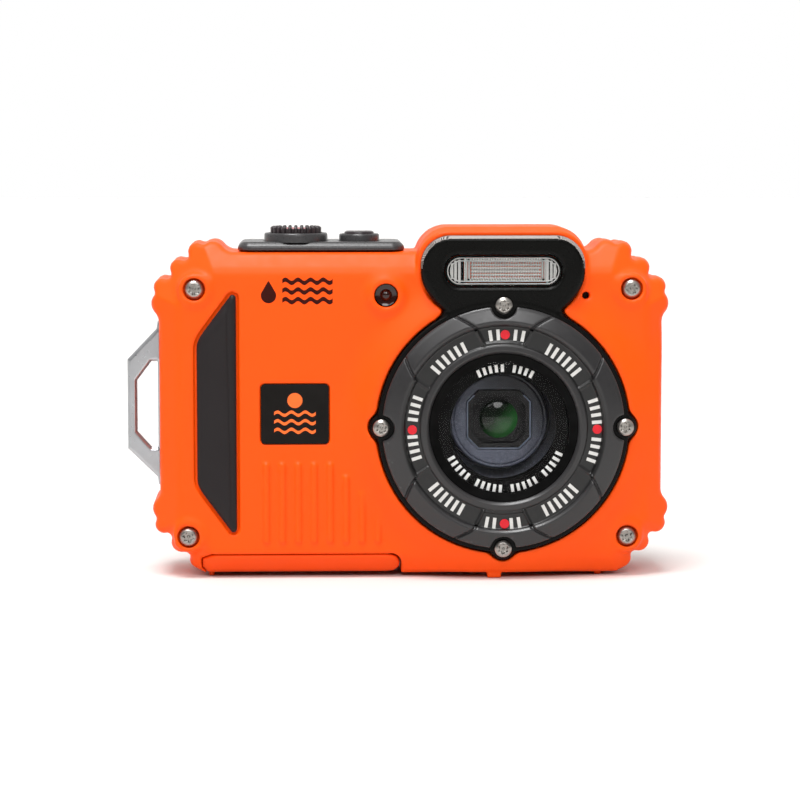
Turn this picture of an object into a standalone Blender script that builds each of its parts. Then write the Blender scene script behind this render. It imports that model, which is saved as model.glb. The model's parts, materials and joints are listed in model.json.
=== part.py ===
"""Rugged waterproof compact camera, modelled as the pieces it is assembled from.

Sizes are in millimetres here and become metres when a mesh is made. +Z is up, the lens faces -Y, and the
origin is on the surface that the camera stands on, under the middle of its bounding box.
"""

import math

import bmesh
import bpy
from mathutils import Matrix, Vector

MM = 0.001
GAP = 0.3  # clearance between pieces that touch on the real object
MERGE = 0.002  # vertices closer than this are one

# Case: outline about its centre, front and rear faces, and the plane where the two shells meet.
CASE_X = 2.45
CASE_Z = 34.0
HALF_WIDTH = 49.75
TOP_Z = 64.6
BOTTOM_Z = 0.85
FRONT_Y = -9.2
SPLIT_Y = 2.5
REAR_Y = 13.4
WALL = 2.0
CHAMFER_WIDTH = 4.1
CHAMFER_DEPTH = 3.0
REAR_CHAMFER = 1.3
CORNER_CUT = 6.9
CAVITY = ((-44.8, 7.0), (49.7, 62.2), 16.5)  # lower-left corner, upper-right corner, corner cut

# Corner bumper: convex lobes (across, up, radius) from the side to the top, about the case centre.
SIDE_LOBE = (48.9, 20.4, 2.4)
STEP_LOBES = ((49.15, 23.65, 1.68), (45.9, 27.4, 1.68), (42.3, 30.7, 1.68))
TOP_LOBE = (39.05, 30.3, 2.4)
LOBE_FILLET = 1.0
EDGE_FILLET = 3.2

# Lens group, on an axis along Y.
LENS_X = 20.5
LENS_Z = 30.3
RING_FRONT_Y = -14.05
RING_BACK_Y = -12.3
RING_RADIUS = 23.9
RING_SCREW_CIRCLE = 24.0
ZOOM_XZ = (20.1, 31.1)  # axis of the zoom lens, which sits a little off the middle of the ring
BOSS_BASE_RADIUS = 30.5
BOSS_TOP_RADIUS = 25.7
BOSS_FRONT_Y = -11.4
FASCIA_FRONT_Y = -12.0
FASCIA_BACK_Y = FRONT_Y - GAP
FASCIA_RADIUS = 24.9
EAR_RADIUS = 2.5
WINDOW_RADIUS = 14.3
MASK_APERTURE = 10.4

# Flash housing above the lens.
FLASH_X = 20.4
FLASH_TOP_Z = 68.0
FLASH_HALF_WIDTH = 16.15
FLASH_CORNER = 5.8
HUMP_GROW = 0.7
HUMP_TOP_GROW = 1.6
HUMP_REAR_Y = 10.4
HUMP_CAVITY = ((6.9, 58.0), (33.9, 67.2), 3.0)
FLASH_WINDOW = ((8.9, 57.9), (32.0, 64.2))
REFLECTOR = ((12.8, 58.9), (29.1, 63.6))

# Top deck and its two buttons.
DECK = ((-31.7, -6.3), (1.26, 10.6))
DECK_BASE_Z = TOP_Z + GAP
DECK_TOP_Z = 66.6
DECK_CORNER = 2.6
BEZEL_SEAT_Z = 66.1
BUTTON_WELL_Z = 65.6
SHUTTER_XY = (-20.2, 0.6)
SHUTTER_RADIUS = 5.1
SHUTTER_TOP_Z = 69.55
SHUTTER_TEETH = 24
POWER_XY = (-7.6, 0.6)
POWER_RADIUS = 3.0
POWER_TOP_Z = 68.65
STEM_BOTTOM_Z = 62.6

# Front details.
CASE_SCREWS = ((-40.2, 57.4), (46.0, 57.4), (-41.6, 8.4), (45.4, 8.2))
CASE_SCREW_RADIUS = 1.9
LAMP_XZ = (-2.5, 56.2)
MIC_XZ = (36.9, 56.1)
BADGE = ((-27.2, 26.9), (-13.8, 38.7))
GRIP_RIGHT_X = -31.7
GRIP_LEFT_X = -40.1
GRIP_Z = (9.0, 19.1, 46.7, 56.7)
RIB_TOPS = (23.1, 23.1, 23.1, 23.1, 23.1, 20.6, 17.3, 14.5)
RIB_X = -26.2
RIB_PITCH = 3.15
RIB_BOTTOM_Z = 7.05

# Strap bracket on the left side.
BRACKET_OUTER_X = -53.75
BRACKET_STRIP_X = (-47.68, -46.95)
BRACKET_Z = (18.1, 50.9)
BRACKET_Y = (-3.2, 1.6)
LOOP_THICKNESS = 1.5
BRACKET_SCREW_Z = (23.0, 46.0)

# Battery door at the bottom left, hinged at its right end.
DOOR_X = (-39.05, 0.25)
DOOR_TOP_Z = 4.76
DOOR_Y = (FRONT_Y, 9.5)
HINGE_X = -1.6
HINGE_Z = 2.8
HINGE_RADIUS = 1.85

# Back: display and keys.
DISPLAY_WINDOW = ((-9.5, 11.0), (49.0, 56.0))
DISPLAY_APERTURE = ((-6.6, 14.0), (46.4, 53.5))
PAD_XZ = (-28.0, 31.0)
PAD_RADIUS = 8.4
OK_RADIUS = 3.4
KEY_RADIUS = 2.6
KEY_BACK_Y = 10.2
KEY_TOP_Y = 14.0
KEYS = {"movie_button": (-16.4, 47.5), "play_button": (-38.6, 47.5), "menu_button": (-38.0, 14.5),
        "delete_button": (-18.0, 14.5)}
ROCKER_XZ = (-28.0, 56.0)
ROCKER_HALF = (7.4, 2.5)
TRIPOD_XY = (20.5, 7.9)
TRIPOD_RADIUS = 4.0


# ---------------------------------------------------------------- outlines, as lists of (x, z) points

def arc(cx, cz, radius, start, end, steps):
    """Points from start to end degrees, both included."""
    angles = [math.radians(start + (end - start) * i / steps) for i in range(steps + 1)]
    return [(cx + radius * math.cos(a), cz + radius * math.sin(a)) for a in angles]


def circle(cx, cz, radius, steps=32):
    return arc(cx, cz, radius, 0, 360, steps)[:-1]


def rounded_box(low, high, radius, grow=0.0, steps=4):
    x0, z0 = low[0] - grow, low[1] - grow
    x1, z1 = high[0] + grow, high[1] + grow
    radius = max(radius + grow, 0.05)
    corners = ((x1 - radius, z0 + radius, -90), (x1 - radius, z1 - radius, 0),
               (x0 + radius, z1 - radius, 90), (x0 + radius, z0 + radius, 180))
    points = []
    for cx, cz, start in corners:
        points += arc(cx, cz, radius, start, start + 90, steps)
    return points


def cut_box(low, high, cut, grow=0.0):
    """A rectangle with its corners cut off at 45 degrees."""
    x0, z0 = low[0] - grow, low[1] - grow
    x1, z1 = high[0] + grow, high[1] + grow
    c = cut + grow * (2 - math.sqrt(2))
    return [(x0 + c, z0), (x1 - c, z0), (x1, z0 + c), (x1, z1 - c),
            (x1 - c, z1), (x0 + c, z1), (x0, z1 - c), (x0, z0 + c)]


def meeting_arc(before, here, after, steps):
    """The arc on circle `here` from its touch point with `before` to the one with `after`."""
    cx, cz, radius = here
    start = math.atan2(before[1] - cz, before[0] - cx)
    turn = math.atan2(after[1] - cz, after[0] - cx) - start
    turn = (turn + math.pi) % (2 * math.pi) - math.pi
    return arc(cx, cz, radius, math.degrees(start), math.degrees(start + turn), steps)


def fillet_between(a, b, radius):
    """Centre of the concave circle that touches circles a and b on their outer side."""
    ra, rb = a[2] + radius, b[2] + radius
    dx, dz = b[0] - a[0], b[1] - a[1]
    distance = math.hypot(dx, dz)
    along = (ra * ra - rb * rb + distance * distance) / (2 * distance)
    away = math.sqrt(ra * ra - along * along)
    return (a[0] + (dx * along + dz * away) / distance, a[1] + (dz * along - dx * away) / distance, radius)


def scalloped_corner(half_width, half_height, with_top_lobe, grow):
    """Lobed corner in the first quadrant about the case centre, from the side edge to the top edge."""
    lobes = [SIDE_LOBE, *STEP_LOBES] + ([TOP_LOBE] if with_top_lobe else [])
    lobes = [(u, v, radius + grow) for u, v, radius in lobes]
    f = EDGE_FILLET - grow
    u, v, radius = lobes[0]
    side_u = half_width + grow + f
    first = (side_u, v - math.sqrt((radius + f) ** 2 - (side_u - u) ** 2), f)
    u, v, radius = lobes[-1]
    if with_top_lobe:
        top_v = half_height + grow + f
        last = (u - math.sqrt((radius + f) ** 2 - (top_v - v) ** 2), top_v, f)
        end = (last[0], last[1] - f)
    else:
        last = (u, half_height + grow, 0.0)
        end = last
    chain = [first]
    for a, b in zip(lobes, lobes[1:]):
        chain += [a, fillet_between(a, b, LOBE_FILLET - grow)]
    chain += [lobes[-1], last]
    points = [(half_width + grow, first[1])]
    for before, here, after in zip([(half_width, first[1])] + chain, chain, chain[1:]):
        points += meeting_arc(before, here, after, 4 if here in lobes else 3)[1:]
    if with_top_lobe:
        points += meeting_arc(lobes[-1], last, end, 3)[1:]
    return points


def case_outline(grow=0.0):
    """Outer edge of the case: straight sides between four lobed corners."""
    top = scalloped_corner(HALF_WIDTH, TOP_Z - CASE_Z, True, grow)
    low = scalloped_corner(HALF_WIDTH, CASE_Z - BOTTOM_Z, False, grow)
    low = low[:-2] + [(low[-3][0] - 2.0, CASE_Z - BOTTOM_Z + grow)]
    right_top = [(CASE_X + u, CASE_Z + v) for u, v in top]
    left_top = [(CASE_X - u, CASE_Z + v) for u, v in reversed(top)]
    left_low = [(CASE_X - u, CASE_Z - v) for u, v in low]
    right_low = [(CASE_X + u, CASE_Z - v) for u, v in reversed(low)]
    return right_top + left_top + left_low + right_low


def flash_outline(grow=0.0, top_grow=0.0):
    """The rounded flash plate above the lens, reaching down to the lens circle."""
    half = FLASH_HALF_WIDTH + grow
    radius = FLASH_CORNER + grow
    top = FLASH_TOP_Z + max(grow, top_grow)
    shoulder = 62.2
    left = arc(FLASH_X - half + radius, top - radius, radius, 90, 180, 6)
    left += [(FLASH_X - half, shoulder), (FLASH_X - half + 0.55, 58.6), (FLASH_X - half + 2.0, 55.9),
             (FLASH_X - half + 4.6, 53.2), (FLASH_X - half + 4.6, 44.0)]
    right = [(2 * FLASH_X - x, z) for x, z in reversed(left)]
    return left + right


def grip_outline(grow=0.0):
    low, left_low, left_high, high = GRIP_Z
    right, left = GRIP_RIGHT_X + grow, GRIP_LEFT_X - grow
    tip = 1.0 + grow
    points = arc(right - tip, high - tip + grow, tip, 0, 130, 4)
    points += [(left + 0.9, left_high + 1.8 + 0.5 * grow), (left, left_high)]
    points += [(left, left_low), (left + 0.9, left_low - 1.8 - 0.5 * grow)]
    points += arc(right - tip, low + tip - grow, tip, 230, 360, 4)
    return points


def door_outline(grow=0.0):
    """Seen from the front: cut left corners and a right end that is round about the hinge axis."""
    left = DOOR_X[0] - grow
    top = DOOR_TOP_Z + grow
    points = arc(HINGE_X, HINGE_Z, HINGE_RADIUS + grow, -90, 90, 8)
    points += [(HINGE_X - 0.9, top), (-37.1, top), (left, 3.87 + grow)]
    points += [(left, 2.0), (left + 1.15, BOTTOM_Z - grow), (HINGE_X - 0.6, BOTTOM_Z - grow)]
    return points


# ---------------------------------------------------------------- solids

MATERIALS = {}


def material(name, colour=(0.8, 0.8, 0.8), roughness=0.5, metallic=0.0):
    if name not in MATERIALS:
        made = bpy.data.materials.new(name)
        made.use_nodes = True
        shader = made.node_tree.nodes["Principled BSDF"]
        shader.inputs["Base Color"].default_value = (*colour, 1.0)
        shader.inputs["Roughness"].default_value = roughness
        shader.inputs["Metallic"].default_value = metallic
        MATERIALS[name] = made
    return MATERIALS[name]


def new_object(name, bm, slot=None):
    """Makes an object from a bmesh in millimetres."""
    bmesh.ops.recalc_face_normals(bm, faces=bm.faces)
    bmesh.ops.transform(bm, matrix=Matrix.Scale(MM, 4), verts=bm.verts)
    mesh = bpy.data.meshes.new(name)
    bm.to_mesh(mesh)
    bm.free()
    made = bpy.data.objects.new(name, mesh)
    bpy.context.scene.collection.objects.link(made)
    if slot:
        mesh.materials.append(material(slot))
    return made


def loft(name, sections, slot=None):
    """A closed solid through sections [(points, y), ...], each with the same number of (x, z) points."""
    bm = bmesh.new()
    rings = [[bm.verts.new((x, y, z)) for x, z in points] for points, y in sections]
    count = len(rings[0])
    for a, b in zip(rings, rings[1:]):
        for i in range(count):
            bm.faces.new((a[i], a[(i + 1) % count], b[(i + 1) % count], b[i]))
    bm.faces.new(rings[0])
    bm.faces.new(rings[-1])
    return new_object(name, bm, slot)


def prism(name, points, y0, y1, slot=None):
    return loft(name, [(points, y0), (points, y1)], slot)


def box(name, low, high, slot=None):
    """A block between two (x, y, z) corners."""
    outline = [(low[0], low[2]), (high[0], low[2]), (high[0], high[2]), (low[0], high[2])]
    return prism(name, outline, low[1], high[1], slot)


def turned(name, centre, profile, steps=32, axis="Y", slot=None):
    """Turns a closed profile of (radius, along) points about an axis along X, Y or Z through centre.

    centre is the other two coordinates. A profile point on the axis makes a pole.
    """
    bm = bmesh.new()
    rings = []
    for radius, along in profile:
        if radius == 0:
            rings.append([bm.verts.new((0, 0, along))])
        else:
            rings.append([bm.verts.new((x, z, along)) for x, z in circle(0, 0, radius, steps)])
    for a, b in zip(rings, rings[1:] + rings[:1]):
        if len(a) == 1 and len(b) == 1:
            continue
        for i in range(steps):
            j = (i + 1) % steps
            corners = [a[i % len(a)], a[j % len(a)], b[j % len(b)], b[i % len(b)]]
            bm.faces.new(list(dict.fromkeys(corners)))
    place = {
        "X": Matrix(((0, 0, 1, 0), (1, 0, 0, centre[0]), (0, 1, 0, centre[1]), (0, 0, 0, 1))),
        "Y": Matrix(((1, 0, 0, centre[0]), (0, 0, 1, 0), (0, 1, 0, centre[1]), (0, 0, 0, 1))),
        "Z": Matrix(((1, 0, 0, centre[0]), (0, 1, 0, centre[1]), (0, 0, 1, 0), (0, 0, 0, 1))),
    }[axis]
    bmesh.ops.transform(bm, matrix=place, verts=bm.verts)
    made = new_object(name, bm, slot)
    made.data.shade_smooth()
    made.data.set_sharp_from_angle(angle=math.radians(30))
    return made


def rod(name, centre, radius, start, end, steps=24, axis="Y", slot=None):
    return turned(name, centre, [(0, start), (radius, start), (radius, end), (0, end)], steps, axis, slot)


def combine(target, tools, operation="DIFFERENCE"):
    """Applies one Boolean with all the tools at once, then removes them."""
    group = bpy.data.collections.new("tools")
    for tool in tools:
        bpy.context.scene.collection.objects.unlink(tool)
        group.objects.link(tool)
    bpy.context.scene.collection.children.link(group)
    modifier = target.modifiers.new("shape", "BOOLEAN")
    modifier.solver = "EXACT"
    modifier.operation = operation
    modifier.operand_type = "COLLECTION"
    modifier.collection = group
    depsgraph = bpy.context.evaluated_depsgraph_get()
    mesh = bpy.data.meshes.new_from_object(target.evaluated_get(depsgraph))
    target.modifiers.clear()
    target.data = mesh
    for tool in tools:
        bpy.data.objects.remove(tool)
    bpy.data.collections.remove(group)
    bm = bmesh.new()
    bm.from_mesh(mesh)
    bmesh.ops.remove_doubles(bm, verts=bm.verts, dist=MERGE * MM)
    bmesh.ops.dissolve_degenerate(bm, edges=bm.edges, dist=MERGE * MM)
    bm.to_mesh(mesh)
    bm.free()
    return target


def origin_at(target, x, y, z):
    """Moves the object's origin to its joint axis without moving its shape."""
    point = Vector((x, y, z)) * MM
    target.data.transform(Matrix.Translation(-point))
    target.location = point
    return target


# ---------------------------------------------------------------- case

def chamfered_block(name):
    """The faceted block that gives the case its front bevels: flat face, then sloping sides and corners."""
    low = (CASE_X - HALF_WIDTH + CHAMFER_WIDTH, BOTTOM_Z + CHAMFER_WIDTH - 0.5)
    high = (CASE_X + HALF_WIDTH - CHAMFER_WIDTH + 0.9, TOP_Z - CHAMFER_WIDTH + 0.5)
    slope = CHAMFER_WIDTH / CHAMFER_DEPTH
    depth = 6.2
    large = cut_box(low, high, CORNER_CUT, depth * slope)
    return loft(name, [(cut_box(low, high, CORNER_CUT), FRONT_Y), (large, FRONT_Y + depth), (large, REAR_Y + 1)])


def front_boss():
    """Raised ring of the front shell round the lens, clipped by the case edge."""
    boss = turned("boss", (LENS_X, LENS_Z), [(0, BOSS_FRONT_Y), (BOSS_TOP_RADIUS + 0.4, BOSS_FRONT_Y),
                  (BOSS_BASE_RADIUS, FRONT_Y), (BOSS_BASE_RADIUS, FRONT_Y + 4), (0, FRONT_Y + 4)], 48)
    return combine(boss, [prism("edge", case_outline(-0.2), BOSS_FRONT_Y - 1, SPLIT_Y)], "INTERSECT")


def hump(name, y0, y1, front):
    """Flash housing above the case: it slopes up from the flash plate and down again at the back."""
    small, large = flash_outline(HUMP_GROW), flash_outline(HUMP_GROW, HUMP_TOP_GROW)
    if front:
        return loft(name, [(small, y0), (large, y0 + 2.6), (large, y1)])
    low = flash_outline(HUMP_GROW - 1.4, -2.6)
    return loft(name, [(large, y0), (large, y1 - 3.0), (low, y1)])


def case_slab(name, y0, y1):
    """The lobed case between two planes, with the front bevels and a smaller rear one."""
    slab = loft(name, [(case_outline(), y0), (case_outline(), y1)])
    return combine(slab, [chamfered_block("bevels")], "INTERSECT")


def fascia_outlines(grow):
    """Prisms that together have the outline of the black fascia, grown by a clearance."""
    y0, y1 = FASCIA_FRONT_Y, FASCIA_BACK_Y
    if grow:
        y0, y1 = FASCIA_FRONT_Y - 2, FRONT_Y
    parts = [rod("disc", (LENS_X, LENS_Z), FASCIA_RADIUS + grow, y0, y1, 48),
             prism("plate", flash_outline(grow), y0, y1)]
    for angle in (0, 180, 270):
        x = LENS_X + RING_SCREW_CIRCLE * math.cos(math.radians(angle))
        z = LENS_Z + RING_SCREW_CIRCLE * math.sin(math.radians(angle))
        parts.append(rod("ear", (x, z), EAR_RADIUS + grow, y0, y1, 16))
    return parts


def door_space(name):
    """Room for the door, open below the hinge so that the door can swing down."""
    clear = HINGE_X + HINGE_RADIUS + 0.45
    outline = arc(HINGE_X, HINGE_Z, clear - HINGE_X, 0, 90, 6) + door_outline(GAP)[9:]
    outline += [(clear, BOTTOM_Z - GAP)]
    return prism(name, outline, FRONT_Y - 1, DOOR_Y[1] + GAP)


def hinge_pin_bore(name):
    return rod(name, (HINGE_X, HINGE_Z), 0.9, DOOR_Y[1] - 2, DOOR_Y[1] + 1.9, 12)


def stem_bores():
    return [rod("stem_bore", xy, 2.0, 60.0, 72.0, 16, "Z") for xy in (SHUTTER_XY, POWER_XY)]


def case_screw_bosses(y0, y1, radius):
    return [rod("screw_boss", xz, radius, y0, y1, 20) for xz in CASE_SCREWS]


def make_front_shell():
    shell = case_slab("front_shell", FRONT_Y, SPLIT_Y - GAP / 2)
    shell.data.materials.append(material("orange_shell"))
    rails = [box("rail", (39.2, -5.5, 0.0), (40.6, SPLIT_Y - GAP / 2, 2.5)),
             box("tab", (17.6, FRONT_Y - 0.5, 0.0), (20.3, -3.0, 3.0))]
    ribs = []
    for i, top in enumerate(RIB_TOPS):
        x = RIB_X + i * RIB_PITCH
        outline = rounded_box((x - 0.6, RIB_BOTTOM_Z), (x + 0.6, top), 0.55, steps=2)
        ribs.append(loft("rib", [(outline, FRONT_Y - 0.45), (outline, FRONT_Y + 1)]))
    lamp_boss = turned("lamp_boss", LAMP_XZ, [(0, FRONT_Y - 0.8), (3.3, FRONT_Y - 0.8), (4.1, FRONT_Y),
                       (4.1, FRONT_Y + 1), (0, FRONT_Y + 1)], 24)
    bosses = case_screw_bosses(FRONT_Y, SPLIT_Y - GAP / 2 - 1, 3.3)
    shelf = hump("hump", FRONT_Y, SPLIT_Y - GAP / 2, True)
    combine(shell, [front_boss(), shelf, lamp_boss] + bosses + ribs + rails, "UNION")

    low, high, cut = CAVITY
    cuts = [prism("cavity", cut_box(low, high, cut), FRONT_Y + WALL, SPLIT_Y + 1),
            prism("hump_cavity", rounded_box(*HUMP_CAVITY), FRONT_Y + WALL + 0.5, SPLIT_Y + 1),
            rod("lens_bore", (LENS_X, LENS_Z), 13.6, FRONT_Y - 3, FRONT_Y + WALL + 1, 48),
            prism("flash_bore", rounded_box(*REFLECTOR, 0.4, 0.5), FRONT_Y - 3, FRONT_Y + WALL + 2)]
    cuts += fascia_outlines(GAP)
    cuts += [rod("lamp_bore", LAMP_XZ, 2.43, FRONT_Y - 2, FRONT_Y + WALL + 1, 24),
             rod("mic_bore", MIC_XZ, 0.73, FRONT_Y - 2, FRONT_Y + WALL + 1, 12),
             prism("grip_pocket", grip_outline(0.3), FRONT_Y - 1, FRONT_Y + 0.7),
             prism("badge_pocket", rounded_box(*BADGE, 0.8, GAP), FRONT_Y - 1, FRONT_Y + 0.6),
             box("bracket_pocket", (-50, BRACKET_Y[0] - GAP, BRACKET_Z[0] - GAP),
                 (BRACKET_STRIP_X[1] + GAP, BRACKET_Y[1] + GAP, BRACKET_Z[1] + GAP)),
             door_space("door_space"),
             box("battery_slot", (-36.4, -6.7, 4.0), (-4.6, 1.3, 16.0))]
    for z in BRACKET_SCREW_Z:
        cuts.append(rod("bracket_bore", (0.2, z), 0.6, -48.0, -43.0, 12, "X"))
    for xz in CASE_SCREWS:
        cuts.append(rod("counterbore", xz, 2.25, FRONT_Y - 1, FRONT_Y + 1.4, 20))
        cuts.append(rod("screw_bore", xz, 1.3, FRONT_Y - 1, SPLIT_Y + 1, 12))
    combine(shell, cuts + stem_bores())
    return shell


def make_rear_shell():
    y0 = SPLIT_Y + GAP / 2
    shell = loft("rear_shell", [(case_outline(), y0), (case_outline(), REAR_Y - REAR_CHAMFER),
                                (case_outline(-0.9), REAR_Y)], "orange_shell")
    rail = box("rail", (39.2, y0, 0.0), (40.6, 9.5, 2.5))
    combine(shell, [hump("hump", y0, HUMP_REAR_Y, False), rail], "UNION")
    low, high, cut = CAVITY
    cuts = [prism("cavity", cut_box(low, high, cut), y0 - 1, REAR_Y - WALL),
            prism("hump_cavity", rounded_box(*HUMP_CAVITY), y0 - 1, 6.5),
            prism("seal_groove", cut_box(low, high, cut, 1.6), y0 - 1, y0 + 1.25),
            box("card_slot", (-34.4, 4.9, 4.0), (-9.6, 7.6, 14.0)),
            box("display_pocket", (-7.4, 8.4, 13.2), (47.2, REAR_Y - WALL + 0.1, 54.3)),
            prism("window_seat", rounded_box(*DISPLAY_WINDOW, 2.0, GAP), REAR_Y - 1.2, REAR_Y + 1),
            prism("aperture", rounded_box(*DISPLAY_APERTURE, 0.6), REAR_Y - WALL - 1, REAR_Y + 1),
            rod("pad_bore", PAD_XZ, PAD_RADIUS + GAP, REAR_Y - WALL - 1, REAR_Y + 1, 40),
            prism("rocker_bore", rocker_outline(0.35), REAR_Y - WALL - 1, REAR_Y + 1),
            rod("tripod_bore", TRIPOD_XY, TRIPOD_RADIUS + GAP, 0.0, 7.5, 32, "Z"),
            door_space("door_space"), hinge_pin_bore("pin_bore")]
    for xz in KEYS.values():
        cuts.append(rod("key_bore", xz, KEY_RADIUS + GAP, REAR_Y - WALL - 1, REAR_Y + 1, 24))
        cuts.append(rod("flange_bore", xz, KEY_RADIUS + 1.2, 9.4, REAR_Y - WALL, 20))
    for xz in CASE_SCREWS:
        cuts.append(rod("screw_bore", xz, 1.3, y0 - 1, 9.0, 12))
    combine(shell, cuts + stem_bores())
    return shell


def make_case_seal():
    low, high, cut = CAVITY
    y0 = SPLIT_Y + GAP / 2 + 0.2
    seal = prism("case_seal", cut_box(low, high, cut, 1.3), y0, y0 + 0.75, "seal_rubber")
    return combine(seal, [prism("inside", cut_box(low, high, cut, 0.3), y0 - 1, y0 + 2)])


def make_case_screws():
    for i, xz in enumerate(CASE_SCREWS):
        profile = [(0, FRONT_Y + 0.5), (0.75, FRONT_Y), (0.8, FRONT_Y - 0.15),
                   (CASE_SCREW_RADIUS - 0.3, FRONT_Y - 0.1), (CASE_SCREW_RADIUS, FRONT_Y + 0.25),
                   (CASE_SCREW_RADIUS, FRONT_Y + 1.1), (1.0, FRONT_Y + 1.1), (1.0, 8.6), (0, 8.6)]
        turned(f"case_screw_{i + 1}", xz, profile, 16, slot="steel_screw")


# ---------------------------------------------------------------- front trim

def make_grip_and_badge():
    crown = [(grip_outline(-0.7), FRONT_Y - 0.9), (grip_outline(-0.2), FRONT_Y - 0.65),
             (grip_outline(), FRONT_Y - 0.3), (grip_outline(), FRONT_Y + 0.4)]
    loft("grip_pad", crown, "grip_rubber")
    prism("badge_plate", rounded_box(*BADGE, 0.8), FRONT_Y - 0.12, FRONT_Y + 0.3, "black_gloss")


def make_lamp_and_microphone():
    y = FRONT_Y
    turned("af_lamp", LAMP_XZ, [(0, y + 0.9), (0.9, y + 0.5), (1.3, y + 0.9), (2.1, y + 0.7), (2.1, y + 5),
                                (0, y + 5)], 24, slot="lamp_lens")
    turned("microphone", MIC_XZ, [(0, -6.8), (1.3, -6.8), (1.3, -5.2), (0, -5.2)], 16, slot="board_green")


def make_bracket():
    """Strap loop: a plate that stands out from a strip screwed to the left side."""
    x0, x1 = BRACKET_STRIP_X
    z0, z1 = BRACKET_Z
    y0 = BRACKET_Y[0]
    outer = [(x1, z0), (x0 - 0.25, z0 + 1.6), (BRACKET_OUTER_X, 25.4), (BRACKET_OUTER_X, 43.2),
             (x0 - 0.25, z1 - 1.6), (x1, z1)]
    hole = [(x0, 25.6), (x0 - 1.3, 25.6), (x0 - 4.15, 28.8), (x0 - 4.15, 39.0), (x0 - 1.3, 42.8), (x0, 42.8)]
    strip = box("strap_bracket", (x0, y0, z0), (x1, BRACKET_Y[1], z1), "chrome_bracket")
    plate = prism("plate", outer, y0, y0 + LOOP_THICKNESS)
    combine(strip, [plate], "UNION")
    combine(strip, [prism("hole", hole, y0 - 1, y0 + LOOP_THICKNESS)])
    combine(strip, [rod("bore", (0.2, z), 0.8, x0 - 1, x1 + 1, 16, "X") for z in BRACKET_SCREW_Z])
    for i, z in enumerate(BRACKET_SCREW_Z):
        profile = [(0, x0 - 0.8), (0.9, x0 - 0.75), (1.15, x0 - 0.55), (1.15, x0 - GAP), (0.5, x0 - GAP),
                   (0.5, -43.6), (0, -43.6)]
        turned(f"bracket_screw_{i + 1}", (0.2, z), profile, 16, "X", "steel_screw")


# ---------------------------------------------------------------- flash and lens

def make_fascia():
    disc, *others = fascia_outlines(0)
    disc.name = "fascia"
    disc.data.materials.append(material("black_gloss"))
    combine(disc, others, "UNION")
    low, high = FLASH_WINDOW
    radius = (high[1] - low[1]) / 2
    cuts = [rod("bore", (LENS_X, LENS_Z), 15.2, -20, 0, 48),
            prism("window", rounded_box(low, high, radius - 0.01, steps=6), -20, 0)]
    for x, z in ring_screw_places():
        cuts.append(rod("screw_bore", (x, z), 1.0, -20, 0, 12))
    combine(disc, cuts)


def make_flash():
    low, high = FLASH_WINDOW
    radius = (high[1] - low[1]) / 2 - GAP
    outline = rounded_box(low, high, radius, -GAP, 6)
    prism("flash_window", outline, FASCIA_FRONT_Y - 0.1, FASCIA_FRONT_Y + 0.8, "clear_window")
    (x0, z0), (x1, z1) = REFLECTOR
    trough = box("flash_reflector", (x0, -10.8, z0), (x1, -6.9, z1), "reflector_chrome")
    hollow = loft("hollow", [(rounded_box((x0, z0), (x1, z1), 0.3, -0.5), -10.9),
                             (rounded_box((x0, z0), (x1, z1), 0.3, -1.1), -8.6),
                             (rounded_box((x0 + 0.4, z0 + 1.2), (x1 - 0.4, z1 - 1.2), 0.3, -0.5), -7.5)])
    combine(trough, [hollow])
    rod("flash_tube", (-8.8, (z0 + z1) / 2), 0.55, x0 + 1.6, x1 - 1.6, 12, "X", "clear_window")


def ring_screw_places():
    angles = [math.radians(a) for a in (90, 180, 270, 0)]
    return [(LENS_X + RING_SCREW_CIRCLE * math.cos(a), LENS_Z + RING_SCREW_CIRCLE * math.sin(a)) for a in angles]


def make_lens_ring():
    y = RING_FRONT_Y
    profile = [(14.6, RING_BACK_Y), (14.6, y + 1.15), (15.0, y + 0.75), (16.5, y + 0.55), (16.6, y + 0.95),
               (19.1, y + 0.95), (19.3, y), (20.3, y), (RING_RADIUS, y + 1.0), (RING_RADIUS, RING_BACK_Y)]
    ring = turned("lens_ring", (LENS_X, LENS_Z), profile, 48, slot="ring_grey")
    notches = [rod("notch", xz, 2.6, -20, 0, 16) for xz in ring_screw_places()]
    combine(ring, notches)
    for i, xz in enumerate(ring_screw_places()):
        head = [(0, -12.8), (0.7, -12.95), (0.75, -13.15), (1.45, -13.1), (1.75, -12.8), (1.75, -12.3),
                (0.7, -12.3), (0.7, -9.9), (0, -9.9)]
        turned(f"ring_screw_{i + 1}", xz, head, 16, slot="steel_screw")


def ring_piece(name, inner, outer, y0, y1, slot, steps=48):
    return turned(name, (LENS_X, LENS_Z), [(inner, y0), (outer, y0), (outer, y1), (inner, y1)], steps, slot=slot)


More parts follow.
